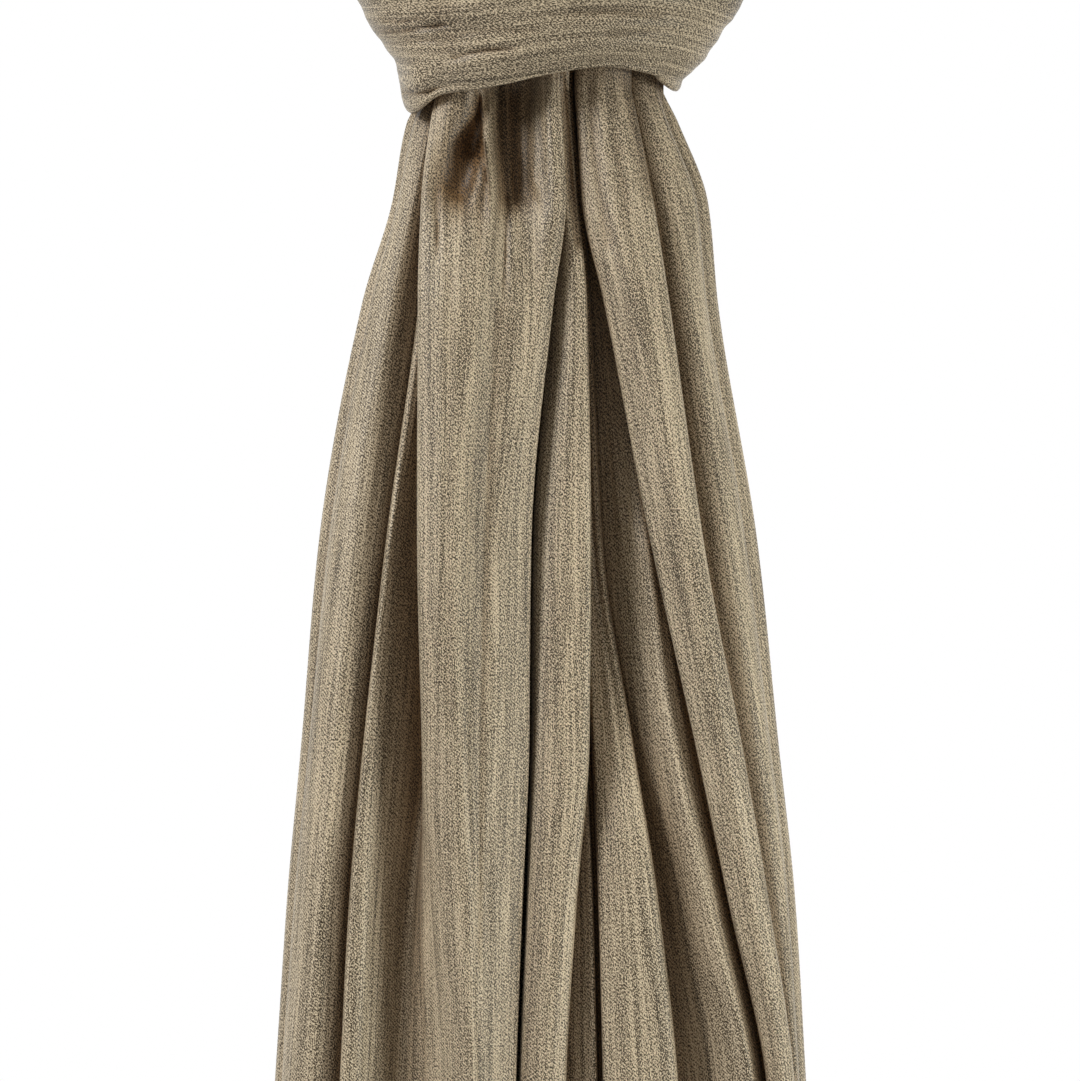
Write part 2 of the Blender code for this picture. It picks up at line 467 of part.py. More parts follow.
def main():
    for item in list(bpy.data.objects):
        bpy.data.objects.remove(item, do_unlink=True)
    material = cloth_material()
    add_tail("left_tail", LEFT_TAIL, material)
    add_tail("right_tail", RIGHT_TAIL, material)
    add_hitch("left_loop", 0.0, LEFT_SEAM, LOOP_RINGS, material)
    add_hitch("band", LEFT_SEAM, RIGHT_SEAM, BAND_RINGS, material)
    add_hitch("right_loop", RIGHT_SEAM, len(HITCH) - 1.0, LOOP_RINGS, material)


main()
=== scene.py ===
"""The look of a silk crepe hijab that is hitched over a rail: its cloth, hems, light and camera."""

import math

import bpy
import numpy as np
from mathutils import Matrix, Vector


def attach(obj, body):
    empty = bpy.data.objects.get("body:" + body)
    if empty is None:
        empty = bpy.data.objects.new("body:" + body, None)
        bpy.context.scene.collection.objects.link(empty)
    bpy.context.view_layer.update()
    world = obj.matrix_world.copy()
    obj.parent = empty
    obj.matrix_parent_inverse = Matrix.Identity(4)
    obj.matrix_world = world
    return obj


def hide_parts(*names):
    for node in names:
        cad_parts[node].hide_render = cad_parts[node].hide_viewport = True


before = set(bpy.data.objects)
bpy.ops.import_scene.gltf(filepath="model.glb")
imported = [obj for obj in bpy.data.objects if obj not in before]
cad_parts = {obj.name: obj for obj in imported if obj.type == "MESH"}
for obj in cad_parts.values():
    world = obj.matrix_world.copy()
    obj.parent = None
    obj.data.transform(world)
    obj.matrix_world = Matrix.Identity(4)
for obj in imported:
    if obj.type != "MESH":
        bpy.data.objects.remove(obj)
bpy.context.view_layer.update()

# Sizes of the cloth. Lengths are in millimetres unless a comment says otherwise, and MM is one in metres
MM = 0.001
THICKNESS = 0.5
TAIL_TOP = 26.0
TAIL_HEM = 688.0
SEAM_GAP = 0.3

# Extra control points that keep a corner tight: how far from it they lie, for each kind of row, and at most
# what share of the way to the next corner. A kind at nothing has none
FOLD_LEAD = 3.2
EDGE_LEAD = 1.6
LEADS = {"end": 0.0, "bend": 0.0, "side": 0.0, "edge": EDGE_LEAD, "fold": FOLD_LEAD}
LEAD_LIMIT = 0.45

# Spacing of the points round a tail: on its front, on its back and between them, and the depths where the
# front ends and the back starts. Then the spacing down a tail. Columns: first height, last height, step
FINE_STEP = 1.0
BACK_STEP = 1.6
COARSE_STEP = 3.0
FRONT_DEPTH = -3.0
BACK_DEPTH = 14.0
HEIGHT_BANDS = ((TAIL_TOP, 88.0, 8.0), (88.0, 190.0, 3.0), (190.0, 418.0, 5.5), (418.0, TAIL_HEM, 9.0))

# Spacing of the points along and across the hitch's ribbon, how many points its length is measured with, and
# how far to each side, in stations, its direction is taken over
RING_STEP = 1.8
RIBBON_STEP = 0.8
WALK_POINTS = 200
STATION_STEP = 0.02

# Uneven ripples. Columns: height, width and length of a bump. Those of the tails' necks fade with the
# distance below a height. Those of the ribbon are shifted across by a count of bumps, and along, as its
# weave is, by a length for each station
TAIL_RIPPLES = ((0.26, 4.6, 75.0), (0.12, 2.4, 45.0))
NECK_RIPPLES = ((0.8, 6.5, 60.0),)
NECK_TOP = 88.0
NECK_FADE = 40.0
HITCH_RIPPLES = ((0.45, 4.2, 60.0), (0.2, 2.2, 34.0))
HITCH_SHIFT = 400
STATION_LENGTH = 10.0
SEEDS = {"left_tail": 11, "right_tail": 23, "band": 31, "left_loop": 41, "right_loop": 51}

# An edge of the mesh that turns by more than this, in radians, isn't shaded smooth
SHARP_ANGLE = 1.2

# Colours of the silk's darkest, middle and brightest threads, the brightest also the colour of the painted
# glints, and how far along them each piece lies, from 0 to 1, before its weave is added
DARK_SILK = (0.038, 0.028, 0.016)
MIDDLE_SILK = (0.142, 0.110, 0.067)
BRIGHT_SILK_AND_GLINT = (0.69, 0.60, 0.45)
TAIL_TONE = 0.42
# Painted shade: the band and its loops sit lower, a darker copy of the tails' silk for the light that their
# turned weave reflects less
BAND_PAINTED_SHADE_TONE = 0.30
THREAD_TONE = 0.62

# The silk is painted browner and darker deep in its folds, as painted shade where other cloth is near: the
# tint there, how far off other cloth counts, in metres, how sharply the tint sets in, and how many rays look
# for the cloth. Then the tint of the painted shade in a pressed crease, and how far in it has to go to take
# all of that
FOLD_SHADE_TINT = (0.36, 0.235, 0.13)
CAVITY_REACH = 0.020
CAVITY_POWER = 1.2
CAVITY_RAYS = 6
CREASE_SHADE_TINT = (0.40, 0.29, 0.18)
HOLLOW_FULL = 6.5

# Layers of noise in the weave, one of them painted glints: bright specks of painted highlight in the colour
# where its noise is over a set value. Columns: name, coordinates, bumps to a metre across, down and out,
# detail, roughness, and the value that counts as nothing. Then what each layer adds to the tone, and to the
# relief in millimetres
WEAVE = (
    ("grain", "cloth", (2900.0, 1300.0, 1.0), 2.0, 0.6, 0.5),
    ("painted glint", "cloth", (3200.0, 1700.0, 1.0), 1.0, 0.5, 0.57),
    ("streak", "thread", (420.0, 9.0, 1.0), 2.0, 0.55, 0.5),
    ("fine streak", "thread", (1100.0, 26.0, 1.0), 2.0, 0.6, 0.5),
    ("cloud", "thread", (60.0, 14.0, 1.0), 2.0, 0.5, 0.5),
)
TONE_WEIGHTS = {"grain": 4.4, "painted glint": 19.0, "twill": 0.28, "streak": 0.9, "fine streak": 1.5, "cloud": 0.6}
RELIEF_WEIGHTS = {"grain": 0.13, "twill": 0.03, "streak": 0.22, "fine streak": 0.16}

# Twill lines: how far they lean from the length of the cloth, in degrees, their wave in radians to a metre,
# which makes a line every 0.9 mm, and by how many radians the grain makes them waver
TWILL_ANGLE = 52.0
TWILL_WAVE = 6980.0
TWILL_WAVER = 3.0

# Surface of the silk
ROUGHNESS = 0.42
SPECULAR = 0.48
SHEEN = 0.1
SHEEN_ROUGHNESS = 0.4

# Floor, with its half width and height in metres
FLOOR_HALF = 2.2
FLOOR_HEIGHT = -0.95
FLOOR_COLOUR = (0.8, 0.8, 0.8)
FLOOR_ROUGHNESS = 0.9

# The surroundings are white behind the scarf and dimmer and warmer elsewhere. The change starts straight to
# the side and ends where a direction points this far back
FRONT_SKY = (0.35, 0.306, 0.248)
BACK_SKY = (1.0, 1.0, 1.0)
SKY_CHANGE = 0.9

# Softboxes, in metres. Columns: name, place, what it points at, width and height, watts, spread in degrees,
# colour
SOFTBOXES = (
    ("left_softbox", (-1.1, -0.75, 0.60), (0, 0, -0.26), (0.5, 0.5), 17.4, 180, (1.0, 0.98, 0.94)),
    ("right_softbox", (0.95, -0.50, -0.30), (0.05, 0, -0.32), (0.3, 0.4), 0.8, 60, (1.0, 1.0, 0.90)),
)

# Camera: its place in metres, and its lens and the width of its sensor in millimetres
CAMERA_PLACE = (0.0, -3.02, -0.238)
CAMERA_LENS = 300.0
SENSOR_WIDTH = 36.0

# Heights below the rail for the columns of the tables below, and the one at which the threads are placed
ACROSS_LEVELS = (88.0, 98.0, 125.0, 158.0, 238.0, 305.0, 358.0, 418.0, TAIL_HEM)
DEPTH_LEVELS = (88.0, 158.0, 258.0, 358.0, TAIL_HEM)
OPEN_LEVELS = (88.0, TAIL_HEM)
THREAD_LEVEL = 358.0

# Each row is one crease or crest, in order along the cloth. Columns: name, kind, place from left to right at
# the nine across levels, place from front to back at the five depth levels, and for some the distance between
# the two layers of a fold at the first and last level
LEFT_TAIL = (
    ("front hem", "end", (6.5, 7.2, 8.5, 4.3, -3.3, -4.0, -6.0, -8.3, -16.0),
     (-22.5, -26.0, -29.0, -31.0, -38.0)),
    ("pleat by hem", "bend", (2.6, 3.0, 5.6, 0.5, -6.5, -7.2, -9.2, -11.0, -19.2),
     (-24.5, -28.0, -31.0, -32.5, -39.5)),
    ("dark cleft", "bend", (-4.0, -4.0, -4.0, -2.5, -10.5, -11.2, -13.2, -13.8, -22.8),
     (-10.0, -27.0, -32.5, -34.0, -40.5)),
    ("middle pleat", "bend", (-10.5, -10.5, -10.0, -9.0, -15.5, -16.2, -18.0, -16.8, -26.6),
     (-14.0, -29.0, -34.5, -36.0, -42.0)),
    ("dark valley", "bend", (-15.5, -15.0, -13.0, -14.0, -20.0, -20.5, -20.0, -19.2, -30.2),
     (-13.0, -28.5, -34.5, -37.0, -43.0)),
    ("upper ridge", "bend", (-21.5, -20.5, -17.5, -19.0, -25.0, -25.5, -23.0, -22.0, -33.8),
     (-23.0, -31.5, -37.2, -38.5, -44.5)),
    ("broad crest", "bend", (-29.0, -29.5, -31.0, -31.5, -32.0, -32.5, -31.0, -27.5, -38.5),
     (-22.0, -31.0, -37.0, -34.5, -41.5)),
    ("main fold", "fold", (-34.6, -36.6, -39.7, -40.5, -40.5, -39.2, -37.8, -34.8, -44.0),
     (-16.0, -27.0, -32.0, -25.5, -30.0), (2.6, 3.0)),
    ("valley behind main", "fold", (-26.5, -27.2, -29.0, -30.0, -31.5, -36.0, -43.0, -46.5, -58.0),
     (-9.0, -13.5, -12.6, -16.0, -22.0), (2.6, 3.0)),
    ("left pleat", "bend", (-30.4, -31.2, -33.0, -36.0, -47.8, -54.6, -57.5, -60.0, -72.0),
     (-9.9, -18.2, -23.0, -29.0, -35.0)),
    ("left pleat fold", "fold", (-33.2, -34.4, -37.0, -40.2, -50.8, -58.4, -63.0, -66.3, -80.0),
     (-8.2, -17.0, -23.4, -28.5, -35.0), (2.6, 3.0)),
    ("valley behind left pleat", "fold", (-26.5, -27.2, -29.0, -31.5, -41.0, -48.0, -53.0, -55.0, -67.0),
     (-4.6, -7.5, -10.0, -13.0, -19.0), (2.4, 2.6)),
    ("shaded flank", "bend", (-29.5, -31.6, -37.5, -43.0, -54.5, -61.0, -66.0, -69.0, -80.0),
     (-3.6, -13.0, -20.0, -25.0, -31.5)),
    ("side crest", "bend", (-34.5, -37.6, -43.5, -50.0, -62.5, -70.0, -75.0, -79.5, -92.5),
     (-5.5, -16.5, -22.0, -26.0, -32.0)),
    ("side flute", "bend", (-37.6, -43.0, -48.5, -57.5, -72.0, -78.5, -83.5, -87.5, -101.5),
     (-0.5, -8.5, -10.8, -13.0, -17.0)),
    ("side valley", "bend", (-35.6, -40.6, -44.5, -53.0, -67.0, -73.5, -78.5, -82.0, -96.0),
     (2.0, -3.5, -5.2, -7.0, -10.0)),
    ("left side", "bend", (-40.6, -46.0, -51.0, -61.0, -75.8, -81.3, -86.3, -90.4, -105.0),
     (5.0, 1.5, 0.8, 0.0, -1.0)),
    ("second side valley", "bend", (-36.3, -41.8, -46.3, -55.0, -69.3, -75.5, -80.5, -84.5, -98.0),
     (8.0, 7.5, 8.0, 8.5, 9.0)),
    ("back side crest", "bend", (-37.3, -42.6, -48.3, -57.3, -71.8, -77.8, -82.8, -86.8, -100.8),
     (11.5, 14.0, 16.0, 18.0, 20.0)),
    ("back side valley", "bend", (-33.6, -37.0, -43.3, -51.3, -65.5, -71.5, -76.0, -80.0, -93.0),
     (14.0, 17.8, 20.9, 24.0, 28.0)),
    ("back shoulder", "bend", (-32.6, -35.8, -42.5, -50.5, -64.0, -69.5, -74.0, -77.5, -90.0),
     (18.6, 24.8, 29.9, 35.0, 42.0)),
    ("back hollow", "bend", (-28.0, -30.5, -36.0, -42.5, -54.0, -59.0, -63.0, -66.5, -78.0),
     (18.4, 24.0, 28.8, 33.5, 40.0)),
    ("back crest", "bend", (-22.5, -24.5, -28.0, -32.5, -41.0, -44.0, -47.0, -50.0, -61.0),
     (22.0, 29.0, 34.5, 40.0, 48.5)),
    ("back fold", "fold", (-15.5, -16.4, -19.0, -22.0, -27.0, -28.0, -30.0, -33.0, -42.0),
     (19.0, 25.0, 30.0, 35.0, 42.5), (2.6, 3.0)),
    ("valley behind back fold", "fold", (-25.0, -26.1, -29.0, -33.0, -41.0, -44.0, -47.0, -50.0, -61.0),
     (14.6, 20.5, 25.5, 30.5, 37.0), (2.2, 2.6)),
    ("inner crest", "bend", (-12.0, -12.3, -13.0, -14.0, -15.0, -15.0, -16.0, -18.0, -26.0),
     (14.8, 20.5, 25.5, 30.5, 37.5)),
    ("inner hollow", "bend", (-6.5, -6.8, -7.0, -7.5, -8.5, -9.0, -10.0, -11.5, -19.0),
     (11.8, 17.0, 21.8, 26.5, 32.5)),
    ("centre fold", "fold", (1.0, 1.0, 1.0, 0.5, -1.0, -1.5, -2.5, -4.0, -11.0),
     (10.8, 16.0, 20.8, 25.5, 31.0), (3.0, 4.0)),
    ("inner fold one", "side", (-31.0, -33.0, -40.0, -48.0, -61.0, -67.0, -72.0, -76.0, -94.0),
     (7.0, 11.0, 14.5, 18.0, 21.5), (3.6, 12.0)),
    ("inner fold two", "side", (-4.0, -4.0, -4.0, -4.0, -6.0, -7.0, -8.0, -9.0, -4.0),
     (3.4, 6.2, 8.3, 10.5, 10.0), (3.6, 11.0)),
    ("inner fold three", "side", (-12.0, -13.1, -16.0, -24.0, -58.0, -67.0, -72.0, -76.0, -94.0),
     (-0.2, 1.4, 2.2, 3.0, -1.0), (3.4, 11.0)),
    ("inner end", "end", (-4.0, -4.0, -4.0, -4.0, -6.0, -7.0, -8.0, -9.0, -4.0),
     (-4.0, -2.5, -2.2, -2.0, -8.0)),
)
RIGHT_TAIL = (
    ("hidden end", "end", (4.0, 4.3, 7.0, 9.0, 4.0, 3.0, 1.0, -1.0, -6.0),
     (-1.5, -2.0, -5.0, -9.0, -12.0)),
    ("deep wall of gap", "bend", (-1.4, -0.6, 3.4, 2.6, -3.0, -4.0, -4.6, -6.4, -12.6),
     (-4.5, -16.0, -21.5, -24.0, -28.0)),
    ("edge by gap", "bend", (-1.6, -0.8, 3.2, 5.4, -0.6, -1.7, -3.9, -6.9, -13.2),
     (-14.0, -20.0, -26.0, -31.0, -37.0)),
    ("second pleat", "bend", (4.5, 5.5, 9.0, 10.4, 8.0, 8.0, 5.0, 2.0, -4.0),
     (-17.5, -23.5, -29.5, -34.5, -40.5)),
    ("second fold", "fold", (9.0, 9.9, 12.2, 15.3, 16.7, 16.3, 11.9, 8.3, 2.0),
     (-17.0, -22.5, -27.5, -32.0, -38.5), (2.4, 3.0)),
    ("valley behind second", "fold", (1.5, 1.9, 6.0, 8.0, 6.0, 6.0, 3.0, 1.5, -6.0),
     (-12.0, -15.0, -19.0, -22.2, -28.2), (2.4, 2.8)),
    ("third shoulder", "edge", (4.0, 4.6, 7.6, 9.6, 11.6, 15.0, 17.3, 18.8, 22.8),
     (-10.5, -12.5, -12.0, -26.4, -33.4)),
    ("cleft floor", "fold", (5.2, 5.8, 8.8, 10.8, 12.8, 16.2, 18.5, 20.0, 24.0),
     (-6.8, -7.5, -7.2, -17.0, -21.0), (2.2, 2.4)),
    ("fourth edge", "edge", (6.4, 7.0, 10.0, 12.0, 14.0, 17.4, 19.7, 21.2, 25.2),
     (-11.0, -12.5, -12.4, -28.5, -36.0)),
    ("fourth crest", "bend", (8.6, 9.4, 12.2, 14.2, 17.5, 24.0, 28.0, 31.5, 41.0),
     (-12.0, -14.0, -12.6, -31.5, -38.5)),
    ("fourth fold", "fold", (11.0, 11.8, 14.4, 16.6, 20.6, 30.5, 39.0, 45.6, 60.0),
     (-11.0, -13.0, -12.2, -29.0, -36.0), (2.8, 3.0)),
    ("valley behind fourth", "fold", (8.8, 9.4, 12.0, 13.6, 17.4, 24.0, 31.0, 36.5, 50.0),
     (-7.6, -9.0, -8.4, -15.5, -21.5), (2.4, 2.6)),
    ("recessed panel", "bend", (11.5, 12.7, 16.5, 19.5, 27.0, 35.0, 44.0, 54.0, 72.0),
     (-6.0, -8.0, -13.0, -17.8, -23.5)),
    ("recessed crest", "bend", (12.8, 14.1, 18.5, 23.5, 35.0, 42.5, 54.0, 69.6, 88.8),
     (-6.2, -9.0, -17.0, -28.5, -35.0)),
    ("recessed foot", "bend", (13.8, 15.2, 20.0, 25.5, 38.0, 48.8, 60.2, 73.0, 91.4),
     (-6.4, -9.0, -14.5, -22.5, -27.5)),
    ("valley under sixth", "fold", (17.5, 19.3, 24.0, 29.0, 42.5, 56.0, 66.8, 78.5, 96.4),
     (-8.6, -13.0, -16.5, -21.5, -26.0), (2.6, 3.0)),
    ("sixth left fold", "fold", (11.4, 12.2, 14.0, 21.4, 37.2, 51.6, 62.8, 75.6, 93.0),
     (-16.0, -21.5, -25.0, -28.0, -33.0), (2.4, 3.0)),
    ("sixth pleat", "bend", (20.0, 21.0, 25.5, 33.0, 48.0, 60.0, 69.5, 80.6, 97.6),
     (-20.5, -28.5, -31.0, -33.0, -39.0)),
    ("sixth right fold", "fold", (31.0, 33.0, 38.0, 43.0, 54.0, 66.7, 76.0, 84.6, 101.6),
     (-17.0, -24.0, -28.5, -29.0, -33.5), (2.6, 3.0)),
    ("valley behind sixth", "fold", (24.5, 26.3, 31.0, 36.0, 48.0, 60.5, 70.5, 80.4, 98.0),
     (-9.5, -14.5, -18.0, -22.0, -27.0), (2.2, 2.4)),
    ("right side crest", "bend", (34.5, 37.2, 44.5, 50.5, 63.5, 74.5, 81.5, 86.3, 102.3),
     (-11.5, -17.5, -19.5, -21.0, -25.5)),
    ("right side flute", "bend", (40.0, 44.0, 54.3, 57.0, 69.5, 77.5, 83.0, 86.5, 102.3),
     (-7.2, -10.0, -11.5, -13.0, -16.0)),
    ("right side valley", "bend", (38.5, 39.6, 48.5, 52.5, 65.0, 73.0, 78.5, 82.0, 97.0),
     (-4.2, -5.0, -6.0, -7.0, -9.5)),
    ("right side", "bend", (42.8, 48.8, 58.8, 61.4, 74.8, 81.4, 87.2, 91.0, 106.0),
     (-1.2, 0.5, 0.5, 0.5, 0.0)),
    ("second right valley", "bend", (37.2, 41.4, 50.5, 55.0, 67.5, 75.5, 80.5, 83.5, 98.5),
     (3.2, 7.0, 8.0, 9.0, 10.0)),
    ("right back side crest", "bend", (36.8, 42.6, 53.0, 57.6, 70.2, 78.2, 83.2, 86.2, 101.8),
     (8.2, 13.5, 15.8, 18.0, 21.0)),
    ("right back side valley", "bend", (34.4, 38.6, 47.5, 51.6, 63.5, 71.0, 76.0, 79.0, 93.5),
     (12.5, 18.5, 21.8, 25.0, 29.5)),
    ("right back shoulder", "bend", (34.0, 38.0, 45.5, 49.5, 61.0, 68.5, 73.5, 76.5, 90.5),
     (17.5, 24.0, 29.0, 34.0, 41.0)),
    ("right back fold", "fold", (23.5, 25.0, 29.0, 33.0, 41.0, 45.0, 48.0, 51.0, 62.0),
     (19.0, 25.5, 30.8, 36.0, 43.5), (2.6, 3.0)),
    ("valley behind right back", "fold", (31.0, 32.6, 37.0, 41.0, 50.0, 55.0, 59.0, 62.0, 74.0),
     (14.8, 21.2, 26.1, 31.0, 37.5), (2.2, 2.4)),
    ("right back crest", "bend", (16.0, 16.5, 18.0, 20.0, 22.0, 23.0, 24.0, 25.0, 28.0),
     (17.0, 23.5, 28.8, 34.0, 41.0)),
    ("centre valley", "bend", (9.0, 9.0, 9.0, 9.5, 9.5, 9.5, 9.5, 9.0, 7.0),
     (17.2, 23.0, 28.0, 33.0, 40.0)),
    ("centre crest", "bend", (3.0, 2.8, 2.5, 2.0, 1.0, 0.5, -0.5, -1.5, -7.0),
     (20.6, 27.2, 32.9, 38.5, 46.0)),
    ("right centre fold", "fold", (-4.0, -4.3, -5.0, -6.0, -8.0, -9.0, -10.0, -11.0, -18.0),
     (20.0, 26.5, 32.0, 37.5, 44.5), (2.6, 3.2)),
    ("return under back", "bend", (16.0, 16.3, 17.0, 18.0, 20.0, 21.0, 22.0, 23.0, 26.0),
     (11.8, 17.5, 22.5, 27.5, 33.5)),
    ("inner fold one", "side", (32.0, 35.8, 46.0, 49.0, 60.0, 67.0, 69.0, 72.0, 84.0),
     (8.2, 12.5, 16.8, 21.0, 25.0), (3.6, 10.0)),
    ("inner fold two", "side", (6.5, 6.5, 6.5, 6.5, 12.0, 15.0, 19.0, 22.0, 34.0),
     (4.6, 8.0, 10.8, 13.5, 15.0), (3.6, 10.0)),
    ("inner fold three", "side", (22.0, 24.2, 30.0, 36.0, 52.0, 60.0, 66.0, 70.0, 82.0),
     (1.2, 3.6, 4.8, 6.0, 5.0), (3.2, 10.0)),
    ("inner end", "end", (16.0, 16.0, 16.5, 13.0, 14.0, 18.0, 21.0, 24.0, 36.0),
     (-0.6, 0.0, 0.0, 0.0, -2.0)),
)

# The hitch is one ribbon from the left tail over the rail, round the front and back over the rail to the
# right tail. Columns: centre (left to right, front to back, height), direction across the ribbon from its
# lower to its upper edge, width, crown, pleat depth, and how far the crease lies above the lower edge
HITCH = (
    ((-21.0, -12.0, -25.7), (-1.0, 0.0, 0.0), 36.0, 3.0, 1.2, 1.5),
    ((-21.0, -12.0, -19.0), (-1.0, 0.0, 0.0), 38.0, 3.0, 1.4, 1.5),
    ((-23.5, -19.5, -1.0), (-1.0, 0.0, 0.0), 41.0, 3.0, 1.6, 1.5),
    ((-24.5, -14.5, 12.5), (-1.0, 0.0, 0.0), 42.0, 3.0, 1.6, 1.5),
    ((-25.0, 0.0, 19.0), (-1.0, 0.0, 0.0), 42.0, 3.0, 1.6, 1.5),
    ((-25.5, 14.5, 12.5), (-1.0, 0.0, 0.0), 42.0, 3.0, 1.6, 1.5),
    ((-27.0, 20.5, -1.0), (-1.0, 0.0, 0.05), 43.0, 3.2, 1.6, 1.6),
    ((-31.0, 25.5, -16.0), (-0.93, 0.0, 0.36), 47.0, 3.6, 1.4, 1.8),
    ((-40.0, 27.0, -30.0), (-0.75, -0.05, 0.66), 54.0, 4.6, 1.1, 2.2),
    ((-49.0, 16.0, -42.0), (-0.42, 0.0, 0.90), 62.0, 7.0, 0.8, 5.0),
    ((-49.5, -4.0, -51.0), (-0.18, 0.0, 0.98), 73.0, 7.9, 0.6, 10.5),
    ((-41.0, -21.0, -53.0), (-0.10, -0.05, 1.0), 73.0, 7.5, 0.5, 6.5),
    ((-23.0, -31.0, -53.0), (0.0, -0.07, 1.0), 70.0, 7.0, 0.5, 1.6),
    ((0.0, -34.5, -50.0), (0.0, -0.08, 1.0), 66.0, 6.5, 0.5, 1.5),
    ((23.0, -31.5, -48.0), (0.0, -0.07, 1.0), 64.5, 7.0, 0.5, 1.5),
    ((43.0, -21.0, -49.0), (0.12, -0.05, 1.0), 68.0, 10.0, 0.5, 3.0),
    ((53.0, -4.0, -50.0), (0.24, 0.0, 0.97), 75.5, 11.9, 0.6, 4.9),
    ((50.5, 16.0, -41.0), (0.45, 0.0, 0.88), 62.0, 9.0, 0.8, 3.5),
    ((41.0, 27.0, -29.5), (0.75, -0.05, 0.66), 53.0, 5.0, 1.1, 2.2),
    ((31.5, 25.5, -16.0), (0.93, 0.0, 0.36), 47.0, 3.8, 1.4, 1.8),
    ((27.5, 20.5, -1.0), (1.0, 0.0, 0.05), 43.0, 3.2, 1.6, 1.6),
    ((26.0, 14.5, 12.0), (1.0, 0.0, 0.0), 42.0, 3.0, 1.6, 1.5),
    ((25.5, 0.0, 18.5), (1.0, 0.0, 0.0), 41.0, 3.0, 1.6, 1.5),
    ((25.0, -14.5, 12.0), (1.0, 0.0, 0.0), 41.0, 3.0, 1.6, 1.5),
    ((24.0, -19.5, -1.5), (1.0, 0.0, 0.0), 40.0, 3.0, 1.6, 1.5),
    ((21.5, -12.0, -19.0), (1.0, 0.0, 0.0), 38.0, 3.0, 1.4, 1.5),
    ((21.5, -12.0, -25.7), (1.0, 0.0, 0.0), 36.0, 3.0, 1.2, 1.5),
)

# Stations at which the band is cut from the left loop and from the right one
LEFT_SEAM = 7.5
RIGHT_SEAM = 18.5

# The lower left corner of the band hangs lower: its place and half width from left to right, how far back it
# reaches, by how much it drops, and the share of that in some rows of the ribbon's section
SAG_CENTRE = -42.5
SAG_WIDTH = 6.0
SAG_BACK = 12.0
SAG_DROP = 6.0
SAG_ROWS = (0, 1, 2, 4, 5)
SAG_SHARES = (0.3, 0.7, 1.0, 1.0, 0.0)

# Rolled hem: its half widths out of and along the cloth, how far it lies in from the edge, and its count of
# sides. Then the stitches along it: their distance from the edge, spacing, length, half width, height over
# the middle of the cloth, count of sides, and places along a stitch with their share of its half width
HEM_RISE = 0.5
HEM_REACH = 0.75
HEM_INSET = 0.35
HEM_SIDES = 8
STITCH_INSET = 1.5
STITCH_SPACING = 2.4
STITCH_LENGTH = 1.5
STITCH_RADIUS = 0.13
STITCH_LIFT = THICKNESS / 2 + STITCH_RADIUS / 3
STITCH_SIDES = 5
STITCH_PLACES = (0.0, 0.25, 0.75, 1.0)
STITCH_SHARES = (0.4, 1.0, 1.0, 0.4)

# Section of the ribbon, from the inner slit down round the lower edge, up the outside and in over the upper
# edge. Columns: name, kind, place across as a share of the width, distance out, share of the crown, share of
# the pleat depth, share of the crease's distance across and inward, opening of a fold
RIBBON = (
    ("lower lip", "end", 0.02, -2.6, 0.0, 0.0, 0.0, 0.0, 0.0),
    ("inner low", "bend", -0.30, -2.4, 0.0, 0.0, 0.0, 0.0, 0.0),
    ("lower edge", "fold across", -0.50, -0.4, 0.0, 0.0, 0.0, 0.0, 2.4),
    ("rim", "bend", -0.50, 1.0, 0.0, 0.0, 0.8, 0.0, 0.0),
    ("crease", "bend", -0.50, 1.6, 0.0, 0.0, 1.0, 0.0, 0.0),
    ("low bowl", "bend", -0.35, 4.0, 0.50, 0.4, 0.0, 0.575, 0.0),
    ("low crown", "bend", -0.21, 4.6, 0.64, -1.0, 0.0, 0.1, 0.0),
    ("crown", "bend", -0.05, 4.8, 0.97, 1.0, 0.0, 0.0, 0.0),
    ("high crown", "bend", 0.12, 4.8, 1.0, -1.0, 0.0, 0.0, 0.0),
    ("high bowl", "bend", 0.28, 4.6, 0.75, 0.8, 0.0, 0.0, 0.0),
    ("upper bowl", "bend", 0.41, 4.0, 0.42, 0.0, 0.0, 0.0, 0.0),
    ("upper edge", "fold across", 0.50, 0.8, 0.12, 0.0, 0.0, 0.0, -3.6),
    ("inner high", "bend", 0.33, -2.4, 0.0, 0.0, 0.0, 0.0, 0.0),
    ("upper lip", "end", 0.09, -2.6, 0.0, 0.0, 0.0, 0.0, 0.0),
)
